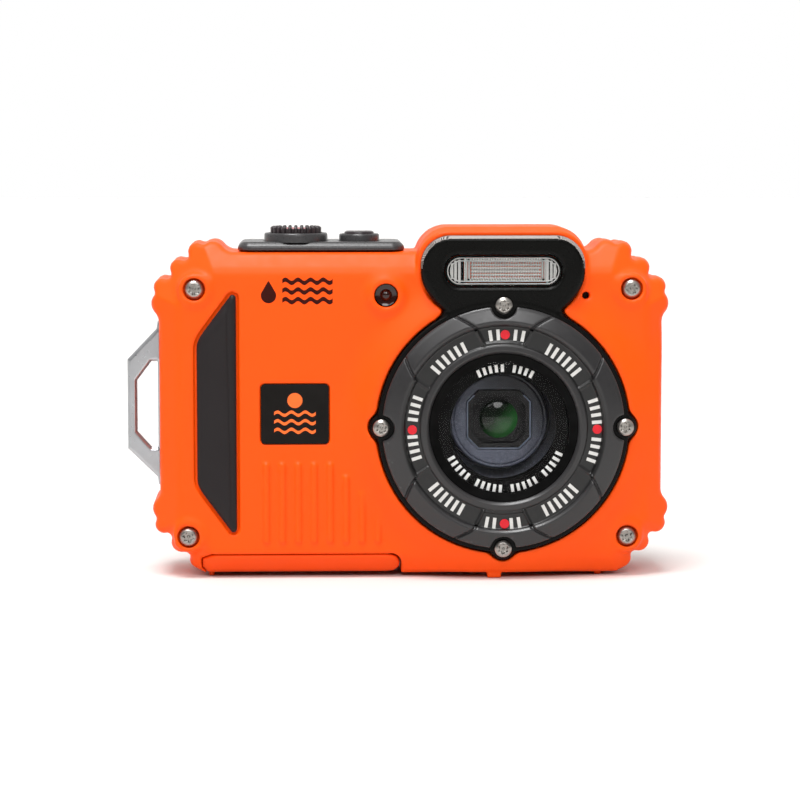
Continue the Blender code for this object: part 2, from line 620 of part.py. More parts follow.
def make_lens_group():
    lens = (LENS_X, LENS_Z)
    ring_piece("window_seal", 13.3, 14.8, -11.2, -10.2, "seal_rubber")
    rod("lens_window", lens, WINDOW_RADIUS, -12.7, -11.5, 48, slot="clear_window")
    ring_piece("window_mask", MASK_APERTURE, 13.0, -11.2, -10.9, "black_matte")
    tube = [(13.9, -6.9), (14.9, -6.9), (14.9, 5.5), (6.0, 5.5), (6.0, 4.3), (13.9, 4.3)]
    turned("lens_tube", lens, tube, 40, slot="black_matte")
    x, z = ZOOM_XZ
    outer = [(10.5, -0.6), (12.2, -1.0), (12.2, 3.4), (10.5, 3.4)]
    barrel = turned("zoom_barrel_outer", ZOOM_XZ, outer, 40, slot="barrel_grey")
    origin_at(barrel, x, -1.0, z)
    cup = [(0, -2.2), (9.0, -2.2), (9.1, -4.4), (9.6, -4.8), (9.9, -4.4), (9.9, 2.6), (0, 2.6)]
    barrel = turned("zoom_barrel_inner", ZOOM_XZ, cup, 40, slot="barrel_grey")
    origin_at(barrel, x, -4.8, z)
    frame = prism("lens_hood", rounded_box((x - 7.3, z - 6.3), (x + 7.3, z + 6.3), 2.4), -3.9, -2.5, "black_matte")
    opening = cut_box((x - 6.7, z - 5.7), (x + 6.7, z + 5.7), 1.6)
    combine(frame, [prism("opening", opening, -5, 0)])
    origin_at(frame, x, -3.9, z)
    element = [(0, -3.7), (2.0, -3.55), (3.9, -3.0), (5.5, -2.9), (5.5, -2.5), (0, -2.5)]
    element = turned("front_element", ZOOM_XZ, element, 32, slot="lens_glass")
    origin_at(element, x, -3.7, z)


# ---------------------------------------------------------------- top deck

def make_top_deck():
    plan = rounded_box(DECK[0], DECK[1], DECK_CORNER)
    inset = rounded_box(DECK[0], DECK[1], DECK_CORNER, -0.5)
    bm = bmesh.new()
    levels = ((plan, DECK_BASE_Z), (plan, DECK_TOP_Z - 0.6), (inset, DECK_TOP_Z))
    rings = [[bm.verts.new((x, y, z)) for x, y in points] for points, z in levels]
    for a, b in zip(rings, rings[1:]):
        for i in range(len(a)):
            j = (i + 1) % len(a)
            bm.faces.new((a[i], a[j], b[j], b[i]))
    bm.faces.new(rings[0])
    bm.faces.new(rings[-1])
    deck = new_object("top_deck", bm, "deck_black")
    cuts = [rod("bezel_seat", SHUTTER_XY, 6.6, BEZEL_SEAT_Z, 69, 28, "Z"),
            rod("button_well", SHUTTER_XY, SHUTTER_RADIUS + GAP, BUTTON_WELL_Z, 69, 28, "Z"),
            rod("bezel_seat", POWER_XY, 4.3, BEZEL_SEAT_Z, 69, 24, "Z"),
            rod("button_well", POWER_XY, POWER_RADIUS + GAP, BUTTON_WELL_Z, 69, 24, "Z")]
    combine(deck, cuts + stem_bores())


def make_shutter():
    low = BEZEL_SEAT_Z + GAP
    bezel = [(5.45, low), (6.3, low), (6.3, 67.9), (6.1, 68.2), (5.6, 68.2), (5.45, 68.05)]
    turned("shutter_bezel", SHUTTER_XY, bezel, 28, "Z", "deck_black")
    top = SHUTTER_TOP_Z
    under = BUTTON_WELL_Z + 1.3
    button = turned("shutter_button", SHUTTER_XY, [(0, STEM_BOTTOM_Z), (1.6, STEM_BOTTOM_Z), (1.6, under),
                    (4.7, under), (4.7, top - 0.55), (3.6, top - 0.35), (0, top - 0.45)], 32, "Z", "deck_black")
    crown = rod("crown", SHUTTER_XY, SHUTTER_RADIUS, under, top, 2 * SHUTTER_TEETH, "Z")
    for vertex in crown.data.vertices:
        spoke = vertex.co.to_2d() - Vector(SHUTTER_XY) * MM
        step = round(math.degrees(math.atan2(spoke.y, spoke.x)) * SHUTTER_TEETH / 180)
        if step % 2 and spoke.length > MM:
            vertex.co.xy = Vector(SHUTTER_XY) * MM + spoke * (1 - 0.45 / SHUTTER_RADIUS)
    hollow = rod("hollow", SHUTTER_XY, 4.1, top - 0.55, top + 1, 32, "Z")
    combine(crown, [hollow])
    combine(button, [crown], "UNION")
    origin_at(button, *SHUTTER_XY, top)


def make_power():
    low = BEZEL_SEAT_Z + GAP
    bezel = [(3.3, low), (4.0, low), (4.0, 67.7), (3.8, 68.0), (3.45, 68.0), (3.3, 67.85)]
    turned("power_bezel", POWER_XY, bezel, 24, "Z", "deck_black")
    top = POWER_TOP_Z
    under = BUTTON_WELL_Z + 0.9
    cap = [(0, STEM_BOTTOM_Z), (1.2, STEM_BOTTOM_Z), (1.2, under), (POWER_RADIUS, under),
           (POWER_RADIUS, top - 0.4), (2.6, top - 0.12), (1.4, top - 0.02), (0, top)]
    origin_at(turned("power_button", POWER_XY, cap, 24, "Z", "deck_black"), *POWER_XY, top)


# ---------------------------------------------------------------- battery door

def make_door():
    door = prism("battery_door", door_outline(), *DOOR_Y, "orange_shell")
    combine(door, [chamfered_block("bevels")], "INTERSECT")
    combine(door, [box("rail", (-37.7, -5.0, 0.0), (-36.7, 8.0, 2.0))], "UNION")
    y0, y1 = DOOR_Y
    cuts = [box("seal_pocket", (-35.5, -6.6, 3.3), (-4.4, 7.4, 6.0)),
            box("latch_slot", (-35.9, -0.4, -1.0), (-25.8, 5.4, 2.2)),
            rod("pin_bore", (HINGE_X, HINGE_Z), 0.9, -6.4, y1 + 1, 16)]
    combine(door, cuts)
    origin_at(door, HINGE_X, 0, HINGE_Z)
    rod("door_hinge_pin", (HINGE_X, HINGE_Z), 0.6, -6.0, y1 + 1.6, 12, slot="steel_screw")
    seal = box("door_seal", (-35.2, -6.3, 3.6), (-4.7, 7.1, 4.6), "seal_rubber")
    combine(seal, [box("inside", (-34.0, -5.1, 3.0), (-5.9, 5.9, 5.0))])
    origin_at(seal, HINGE_X, 0, HINGE_Z)
    latch = box("door_latch", (-35.6, -0.1, 0.5), (-28.6, 5.1, 1.9), "deck_black")
    grooves = [box("groove", (-34.6 + 1.2 * i, 0.6, 0.0), (-34.1 + 1.2 * i, 4.4, 0.8)) for i in range(5)]
    combine(latch, grooves)
    origin_at(latch, -32.1, 2.5, 1.2)


# ---------------------------------------------------------------- back

def rocker_outline(grow=0.0):
    x, z = ROCKER_XZ
    low = (x - ROCKER_HALF[0], z - ROCKER_HALF[1])
    high = (x + ROCKER_HALF[0], z + ROCKER_HALF[1])
    return rounded_box(low, high, ROCKER_HALF[1] - 0.1, grow, 5)


def make_display():
    prism("display_window", rounded_box(*DISPLAY_WINDOW, 2.0), REAR_Y - 0.9, REAR_Y - 0.1, "black_gloss")
    (x0, z0), (x1, z1) = DISPLAY_APERTURE
    box("display_module", (x0 - 0.5, 8.7, z0 - 0.5), (x1 + 0.5, 11.1, z1 + 0.5), "display_glass")


def key_profile(radius, top):
    """A round key with a domed face at the back and a flange that keeps it in."""
    y = KEY_BACK_Y
    return [(0, y), (radius + 0.8, y), (radius + 0.8, y + 0.7), (radius, y + 0.7), (radius, top - 0.3),
            (radius - 0.3, top), (0, top + 0.05)]


def make_keys():
    top = KEY_TOP_Y
    for name, xz in KEYS.items():
        key = turned(name, xz, key_profile(KEY_RADIUS, top), 24, slot="key_black")
        origin_at(key, xz[0], top, xz[1])
    x, z = PAD_XZ
    profile = [(0, KEY_BACK_Y), (OK_RADIUS, KEY_BACK_Y), (OK_RADIUS, top - 0.2), (OK_RADIUS - 0.3, top), (0, top)]
    ok = turned("ok_button", PAD_XZ, profile, 24, slot="key_black")
    origin_at(ok, x, top, z)
    for name, middle in (("right_key", 180), ("up_key", 90), ("left_key", 0), ("down_key", 270)):
        outer = arc(x, z, PAD_RADIUS, middle - 42, middle + 42, 8)
        inner = arc(x, z, OK_RADIUS + GAP + 0.1, middle + 38, middle - 38, 5)
        key = loft(name, [(outer + inner, KEY_BACK_Y), (outer + inner, top - 0.15)], "key_black")
        reach = math.radians(middle)
        origin_at(key, x + 6 * math.cos(reach), top, z + 6 * math.sin(reach))
    x, z = ROCKER_XZ
    rocker = prism("zoom_rocker", rocker_outline(), 11.2, REAR_Y + 0.65, "key_black")
    dip = rod("dip", (x, 30.0 + REAR_Y), 30.0, z - 4, z + 4, 96, "Z")
    combine(rocker, [dip])
    origin_at(rocker, x, 11.8, z)


def make_tripod_insert():
    x, y = TRIPOD_XY
    insert = [(0, 6.9), (TRIPOD_RADIUS, 6.9), (TRIPOD_RADIUS, 0.95), (3.4, 0.95), (3.15, 1.2), (3.15, 6.1), (0, 6.1)]
    turned("tripod_insert", (x, y), insert, 32, "Z", "steel_screw")


# ---------------------------------------------------------------- inside

def make_internals():
    box("battery", (-36.0, -6.3, 6.0), (-5.0, 0.9, 46.0), "battery_grey")
    box("memory_card", (-34.0, 5.2, 6.0), (-10.0, 7.3, 38.0), "board_green")
    prism("main_board", cut_box((-9.0, 9.0), (47.0, 57.0), 13.5), 7.2, 8.1, "board_green")
    x, z = ZOOM_XZ
    box("sensor_module", (x - 7, 5.8, z - 6), (x + 7, 6.9, z + 6), "board_green")
    rod("flash_capacitor", (0.0, 52.5), 4.0, 8.0, 33.0, 20, "X", "black_matte")
    turned("speaker", (30.0, 12.0), [(0, -6.6), (4.4, -6.6), (4.4, -4.6), (0, -4.6)], 20, slot="black_matte")


def colour_materials():
    """Colour, roughness and metallic of each material."""
    looks = {
        "orange_shell": ((1.0, 0.16, 0.012), 0.5, 0.0), "deck_black": ((0.025, 0.025, 0.027), 0.45, 0.0),
        "black_gloss": ((0.01, 0.01, 0.01), 0.25, 0.0), "black_matte": ((0.02, 0.02, 0.022), 0.6, 0.0),
        "ring_grey": ((0.05, 0.05, 0.053), 0.4, 0.0), "grip_rubber": ((0.035, 0.033, 0.033), 0.6, 0.0),
        "seal_rubber": ((0.02, 0.02, 0.02), 0.8, 0.0), "steel_screw": ((0.62, 0.6, 0.58), 0.3, 1.0),
        "chrome_bracket": ((0.78, 0.78, 0.78), 0.15, 1.0), "clear_window": ((0.9, 0.93, 0.93), 0.05, 0.0),
        "lens_glass": ((0.03, 0.09, 0.05), 0.05, 0.0), "barrel_grey": ((0.08, 0.09, 0.1), 0.4, 0.0),
        "lamp_lens": ((0.12, 0.03, 0.01), 0.2, 0.0), "reflector_chrome": ((0.8, 0.8, 0.78), 0.2, 1.0),
        "key_black": ((0.03, 0.03, 0.032), 0.5, 0.0), "display_glass": ((0.02, 0.025, 0.03), 0.15, 0.0),
        "battery_grey": ((0.2, 0.21, 0.22), 0.5, 0.0), "board_green": ((0.02, 0.12, 0.05), 0.5, 0.0),
    }
    for name, (colour, roughness, metallic) in looks.items():
        material(name, colour, roughness, metallic)


def main():
    for old in list(bpy.data.objects):
        bpy.data.objects.remove(old)
    colour_materials()
    make_front_shell()
    make_rear_shell()
    make_case_seal()
    make_case_screws()
    make_grip_and_badge()
    make_lamp_and_microphone()
    make_bracket()
    make_fascia()
    make_flash()
    make_lens_ring()
    make_lens_group()
    make_top_deck()
    make_shutter()
    make_power()
    make_door()
    make_display()
    make_keys()
    make_tripod_insert()
    make_internals()


main()
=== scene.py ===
import functools
import json
import math

import bmesh
import bpy
import numpy as np
from mathutils import Matrix, Vector

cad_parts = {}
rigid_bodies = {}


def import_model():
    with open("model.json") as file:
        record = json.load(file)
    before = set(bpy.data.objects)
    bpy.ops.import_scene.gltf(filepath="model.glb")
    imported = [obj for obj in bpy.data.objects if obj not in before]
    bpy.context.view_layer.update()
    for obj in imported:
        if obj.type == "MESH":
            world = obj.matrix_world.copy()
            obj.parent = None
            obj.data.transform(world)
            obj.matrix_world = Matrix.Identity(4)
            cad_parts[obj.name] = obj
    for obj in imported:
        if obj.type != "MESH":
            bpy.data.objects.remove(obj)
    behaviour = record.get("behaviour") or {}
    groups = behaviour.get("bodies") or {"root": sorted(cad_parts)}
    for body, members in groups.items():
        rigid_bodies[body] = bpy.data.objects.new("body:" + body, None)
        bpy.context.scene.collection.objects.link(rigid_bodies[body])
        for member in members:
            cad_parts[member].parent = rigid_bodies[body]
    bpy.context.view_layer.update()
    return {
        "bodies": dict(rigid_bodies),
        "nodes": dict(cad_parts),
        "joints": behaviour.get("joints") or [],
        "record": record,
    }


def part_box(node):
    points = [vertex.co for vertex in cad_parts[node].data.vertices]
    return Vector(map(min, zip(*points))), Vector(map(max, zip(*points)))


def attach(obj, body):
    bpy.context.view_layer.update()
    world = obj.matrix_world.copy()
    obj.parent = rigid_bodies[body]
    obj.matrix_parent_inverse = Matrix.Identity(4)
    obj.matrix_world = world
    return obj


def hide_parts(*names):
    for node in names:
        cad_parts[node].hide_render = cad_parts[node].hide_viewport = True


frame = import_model()

# Sizes are in millimetres and become metres when a mesh is made. The lens faces -Y.
MM = 0.001


def node_box(node):
    """Lowest and highest corner of a CAD node, in millimetres."""
    low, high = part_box(node)
    return np.array(low) / MM, np.array(high) / MM


def node_centre(node):
    low, high = node_box(node)
    return (low + high) / 2


def centre_xz(node):
    return tuple(node_centre(node)[[0, 2]])


def box_xz(node, grow=0.0):
    low, high = node_box(node)
    return low[[0, 2]] - grow, high[[0, 2]] + grow


# Case outline, as in the CAD model, about the middle of its width.
CASE_X = 2.45
CASE_Z = 34.0
HALF_WIDTH = 49.75
TOP_Z = 64.6
BOTTOM_Z = 0.85
FRONT_Y = -9.2
SPLIT_Y = 2.5
REAR_Y = 13.4
CHAMFER = (4.1, 3.0)  # width across the face, depth along Y
CORNER_CUT = 6.9
SIDE_LOBE = (48.9, 20.4, 2.4)
STEP_LOBES = ((49.15, 23.65, 1.68), (45.9, 27.4, 1.68), (42.3, 30.7, 1.68))
TOP_LOBE = (39.05, 30.3, 2.4)
LOBE_FILLET = 1.0
EDGE_FILLET = 3.2
SEAM = 0.12  # half the visible gap between two shells

LENS_X, _, LENS_Z = node_centre("lens_ring")
RING_FRONT_Y = node_box("lens_ring")[0][1]
RING_BACK_Y = node_box("lens_ring")[1][1]
RING_RADIUS = 23.9
SCREW_CIRCLE = 24.0
FASCIA_RADIUS = 24.9
FASCIA_FRONT_Y = node_box("fascia")[0][1]
FASCIA_BACK_Y = node_box("fascia")[1][1]
FLASH_X = 20.4
FLASH_TOP_Z = 68.0
FLASH_HALF_WIDTH = 16.15
FLASH_CORNER = 5.8
BOSS_BASE_RADIUS = 30.5
BOSS_TOP_RADIUS = 25.7
BOSS_FRONT_Y = -11.4
HINGE = (-1.6, 2.8, 1.85)
DOOR_LEFT_X = -39.05
DOOR_TOP_Z = 4.76


# ---------------------------------------------------------------- outlines of (x, z) points

def arc(cx, cz, radius, start, end, steps):
    angles = np.radians(np.linspace(start, end, steps + 1))
    return [(cx + radius * math.cos(a), cz + radius * math.sin(a)) for a in angles]


def rounded_box(low, high, radius, steps=8):
    (x0, z0), (x1, z1) = low, high
    corners = ((x1 - radius, z0 + radius, -90), (x1 - radius, z1 - radius, 0),
               (x0 + radius, z1 - radius, 90), (x0 + radius, z0 + radius, 180))
    points = []
    for cx, cz, start in corners:
        points += arc(cx, cz, radius, start, start + 90, steps)
    return points


def meeting_arc(before, here, after, steps):
    """The arc on circle `here` from its touch point with `before` to the one with `after`."""
    cx, cz, radius = here
    start = math.atan2(before[1] - cz, before[0] - cx)
    turn = math.atan2(after[1] - cz, after[0] - cx) - start
    turn = (turn + math.pi) % (2 * math.pi) - math.pi
    return arc(cx, cz, radius, math.degrees(start), math.degrees(start + turn), steps)


def fillet_between(a, b, radius):
    """Centre of the concave circle that touches circles a and b on their outer side."""
    ra, rb = a[2] + radius, b[2] + radius
    dx, dz = b[0] - a[0], b[1] - a[1]
    distance = math.hypot(dx, dz)
    along = (ra * ra - rb * rb + distance * distance) / (2 * distance)
    away = math.sqrt(ra * ra - along * along)
    return (a[0] + (dx * along + dz * away) / distance, a[1] + (dz * along - dx * away) / distance, radius)


def scalloped_corner(half_width, half_height, with_top_lobe):
    """Lobed corner in the first quadrant about the case centre, from the side edge to the top edge."""
    lobes = [SIDE_LOBE, *STEP_LOBES] + ([TOP_LOBE] if with_top_lobe else [])
    f = EDGE_FILLET
    u, v, radius = lobes[0]
    side_u = half_width + f
    first = (side_u, v - math.sqrt((radius + f) ** 2 - (side_u - u) ** 2), f)
    u, v, radius = lobes[-1]
    if with_top_lobe:
        top_v = half_height + f
        last = (u - math.sqrt((radius + f) ** 2 - (top_v - v) ** 2), top_v, f)
        end = (last[0], last[1] - f)
    else:
        last = (u, half_height, 0.0)
        end = last
    chain = [first]
    for a, b in zip(lobes, lobes[1:]):
        chain += [a, fillet_between(a, b, LOBE_FILLET)]
    chain += [lobes[-1], last]
    points = [(half_width, first[1])]
    for before, here, after in zip([(half_width, first[1])] + chain, chain, chain[1:]):
        points += meeting_arc(before, here, after, 7)[1:]
    if with_top_lobe:
        points += meeting_arc(lobes[-1], last, end, 5)[1:]
    return points


def case_outline():
    """Outer edge of the case: straight sides between four lobed corners."""
    top = scalloped_corner(HALF_WIDTH, TOP_Z - CASE_Z, True)
    low = scalloped_corner(HALF_WIDTH, CASE_Z - BOTTOM_Z, False)
    low = low[:-2] + [(low[-3][0] - 2.0, CASE_Z - BOTTOM_Z)]
    right_top = [(CASE_X + u, CASE_Z + v) for u, v in top]
    left_top = [(CASE_X - u, CASE_Z + v) for u, v in reversed(top)]
    left_low = [(CASE_X - u, CASE_Z - v) for u, v in low]
    right_low = [(CASE_X + u, CASE_Z - v) for u, v in reversed(low)]
    return right_top + left_top + left_low + right_low


def grip_outline():
    (left, _, low), (right, _, high) = node_box("grip_pad")
    tip = 1.0
    points = arc(right - tip, high - tip, tip, 0, 130, 6)
    points += [(left + 1.5, 49.4), (left + 0.75, 48.3), (left + 0.2, 47.2), (left, 46.0)]
    points += [(left, 19.8), (left + 0.2, 18.6), (left + 0.75, 17.5), (left + 1.5, 16.4)]
    points += arc(right - tip, low + tip, tip, 230, 360, 6)
    return points


def door_outline():
    """Seen from the front: cut left corners and a right end that is round about the hinge axis."""
    x, z, radius = HINGE
    points = arc(x, z, radius, -90, 90, 16)
    points += [(x - 0.9, DOOR_TOP_Z), (-37.1, DOOR_TOP_Z), (DOOR_LEFT_X, 3.87)]
    points += [(DOOR_LEFT_X, 2.0), (DOOR_LEFT_X + 1.15, BOTTOM_Z), (x - 0.6, BOTTOM_Z)]
    return points


# ---------------------------------------------------------------- distance fields
# A field gives the distance in millimetres to a surface, negative inside, for arrays x, y and z.

def union(a, b, radius=0.0):
    if not radius:
        return np.minimum(a, b)
    blend = np.maximum(radius - np.abs(a - b), 0.0) / radius
    return np.minimum(a, b) - blend * blend * radius / 4


def both(a, b, radius=0.0):
    return -union(-a, -b, radius)


def cut(a, b, radius=0.0):
    """a without b."""
    return -union(-a, b, radius)


def all_of(*fields):
    """Union of several fields, with sharp joints."""
    return functools.reduce(np.minimum, fields)


def polygon(points, x, z):
    """Distance to a closed outline."""
    x, z = np.broadcast_arrays(x, z)
    nearest = np.full(x.shape, np.inf)
    inside = np.zeros(x.shape, bool)
    for (ax, az), (bx, bz) in zip(points, points[1:] + points[:1]):
        ex, ez = bx - ax, bz - az
        px, pz = x - ax, z - az
        share = np.clip((px * ex + pz * ez) / (ex * ex + ez * ez), 0, 1)
        nearest = np.minimum(nearest, (px - ex * share) ** 2 + (pz - ez * share) ** 2)
        if ez:
            crosses = ((az > z) != (bz > z)) & (px * abs(ez) < (pz * ex) * math.copysign(1, ez))
            inside ^= crosses
    return np.where(inside, -1, 1) * np.sqrt(nearest)


def disc(x, z, centre, radius):
    return np.hypot(x - centre[0], z - centre[1]) - radius


def slab(v, low, high):
    return np.maximum(low - v, v - high)


def block(x, z, low, high, radius=0.0):
    """Distance to a rectangle with rounded corners."""
    dx = np.abs(x - (low[0] + high[0]) / 2) - (high[0] - low[0]) / 2 + radius
    dz = np.abs(z - (low[1] + high[1]) / 2) - (high[1] - low[1]) / 2 + radius
    return np.hypot(np.maximum(dx, 0), np.maximum(dz, 0)) + np.minimum(np.maximum(dx, dz), 0) - radius


def segment(x, z, a, b, radius):
    """Distance to a thick line with round ends."""
    ex, ez = b[0] - a[0], b[1] - a[1]
    share = np.clip(((x - a[0]) * ex + (z - a[1]) * ez) / (ex * ex + ez * ez), 0, 1)
    return np.hypot(x - a[0] - ex * share, z - a[1] - ez * share) - radius


def slope(out, back, chamfer):
    """A bevel plane: out is how far a point is past the bevel's front edge, back how far behind the face."""
    width, depth = chamfer
    return (out * depth - back * width) / math.hypot(width, depth)


def surface_net(values, low, step):
    """Vertices and quads of the zero surface of a grid of values, by naive surface nets."""
    inside = values < 0
    corners = [(i, j, k) for i in (0, 1) for j in (0, 1) for k in (0, 1)]
    shape = [n - 1 for n in values.shape]
    counts = np.zeros(shape, np.int8)
    for i, j, k in corners:
        counts += inside[i:i + shape[0], j:j + shape[1], k:k + shape[2]]
    cells = np.argwhere((counts > 0) & (counts < 8))
    index = np.full(shape, -1, np.int64)
    index[tuple(cells.T)] = np.arange(len(cells))
    at = {c: values[cells[:, 0] + c[0], cells[:, 1] + c[1], cells[:, 2] + c[2]] for c in corners}
    total = np.zeros((len(cells), 3))
    crossings = np.zeros(len(cells))
    for a in corners:
        for axis in range(3):
            if a[axis]:
                continue
            b = tuple(1 if n == axis else a[n] for n in range(3))
            crossed = (at[a] < 0) != (at[b] < 0)
            share = np.where(crossed, at[a] / np.where(crossed, at[a] - at[b], 1), 0)
            point = np.tile(np.array(a, float), (len(cells), 1))
            point[:, axis] += share
            total += point * crossed[:, None]
            crossings += crossed
    verts = (cells + total / crossings[:, None]) * step + low
    quads = []
    for axis in range(3):
        u, v = (axis + 1) % 3, (axis + 2) % 3
        here = [slice(1, -1)] * 3
        here[axis] = slice(0, -1)
        there = list(here)
        there[axis] = slice(1, None)
        changed = np.argwhere(inside[tuple(here)] != inside[tuple(there)])
        changed[:, u] += 1
        changed[:, v] += 1
        starts = inside[tuple(changed.T)]
        ring = []
        for du, dv in ((-1, -1), (0, -1), (0, 0), (-1, 0)):
            cell = changed.copy()
            cell[:, u] += du
            cell[:, v] += dv
            ring.append(index[tuple(cell.T)])
        ring = np.array(ring).T
        quads.append(np.where(starts[:, None], ring, ring[:, ::-1]))
    return verts, np.concatenate(quads)


def gradient(field, points, value):
    """Unit direction in which the field grows at each point, and how fast it grows."""
    nudge = 0.02
    slopes = []
    for axis in range(3):
        moved = points.copy()
        moved[:, axis] += nudge
        slopes.append((field(*moved.T) - value) / nudge)
    slopes = np.array(slopes).T
    size = np.maximum(np.linalg.norm(slopes, axis=1), 1e-6)
    return slopes / size[:, None], size


def carve(name, field, low, high, step, material, body="root", replaces=(), slot=None):
    """Makes a piece from a distance field inside a box, with its vertices pulled on to the true surface."""
    low, high = np.array(low, float) - 1.5 * step, np.array(high, float) + 1.5 * step
    counts = np.ceil((high - low) / step).astype(int) + 1
    x, y, z = (low[n] + step * np.arange(counts[n]) for n in range(3))
    values = field(x[:, None, None], y[None, :, None], z[None, None, :])
    values = np.broadcast_to(values, counts).astype(np.float32)
    verts, quads = surface_net(values, low, step)
    for _ in range(2):
        value = field(*verts.T)
        normal, size = gradient(field, verts, value)
        move = np.clip(value / size, -step, step) * 0.9
        verts = verts - normal * move[:, None]
    mesh = bpy.data.meshes.new(name)
    mesh.from_pydata([tuple(v) for v in verts * MM], [], quads.tolist())
    mesh.update()
    mesh.shade_smooth()
    return add_piece(name, mesh, material, body, replaces)


Z_TO_Y = Matrix(((1, 0, 0), (0, 0, 1), (0, 1, 0))).to_4x4()
SHARP_ANGLE = math.radians(35)


def add_piece(name, mesh, material, body="root", replaces=()):
    piece = bpy.data.objects.new(name, mesh)
    bpy.context.scene.collection.objects.link(piece)
    mesh.materials.append(material)
    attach(piece, body)
    if replaces:
        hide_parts(*replaces)
    return piece


def lathe(name, centre, profile, steps, material, axis="Y", body="root", replaces=()):
    """Turns a closed profile of (radius, place along the Y or Z axis); a radius of 0 is a pole."""
    bm = bmesh.new()
    rings = []
    for radius, along in profile:
        count = 1 if radius == 0 else steps
        angles = [2 * math.pi * i / steps for i in range(count)]
        rings.append([bm.verts.new((radius * math.cos(a), radius * math.sin(a), along)) for a in angles])
    for a, b in zip(rings, rings[1:] + rings[:1]):
        if len(a) == 1 and len(b) == 1:
            continue
        for i in range(steps):
            j = (i + 1) % steps
            ring = [a[i % len(a)], a[j % len(a)], b[j % len(b)], b[i % len(b)]]
            bm.faces.new(list(dict.fromkeys(ring)))
    turn = Z_TO_Y if axis == "Y" else Matrix.Identity(4)
    bmesh.ops.transform(bm, matrix=Matrix.Translation(centre) @ turn, verts=bm.verts)
    return finish_mesh(name, bm, material, body, replaces)


def plate(name, outline, low, high, material, bevel, replaces=()):
    """A flat piece between two planes along Y, with small rounded edges."""
    bm = bmesh.new()
    for side in (low, high):
        ring = [bm.verts.new((u, v, side)) for u, v in outline]
        bm.faces.new(ring)
    bm.faces.ensure_lookup_table()
    first, last = bm.faces[0], bm.faces[1]
    a, b = list(first.verts), list(last.verts)
    for i in range(len(a)):
        j = (i + 1) % len(a)
        bm.faces.new((a[i], a[j], b[j], b[i]))
    bmesh.ops.recalc_face_normals(bm, faces=bm.faces)
    rims = [e for e in bm.edges if first in e.link_faces or last in e.link_faces]
    bmesh.ops.bevel(bm, geom=rims, offset=bevel, segments=2, affect="EDGES", profile=0.6, clamp_overlap=True)
    bmesh.ops.transform(bm, matrix=Z_TO_Y, verts=bm.verts)
    return finish_mesh(name, bm, material, "root", replaces)


def finish_mesh(name, bm, material, body, replaces):
    bmesh.ops.recalc_face_normals(bm, faces=bm.faces)
    bmesh.ops.scale(bm, vec=(MM, MM, MM), verts=bm.verts)
    mesh = bpy.data.meshes.new(name)
    bm.to_mesh(mesh)
    bm.free()
    mesh.shade_smooth()
    mesh.set_sharp_from_angle(angle=SHARP_ANGLE)
    return add_piece(name, mesh, material, body, replaces)


# ---------------------------------------------------------------- materials

def linear(r, g, b):
    """8-bit sRGB to linear."""
    return tuple(c / 3294.6 if c <= 10.3 else ((c / 255 + 0.055) / 1.055) ** 2.4 for c in (r, g, b))


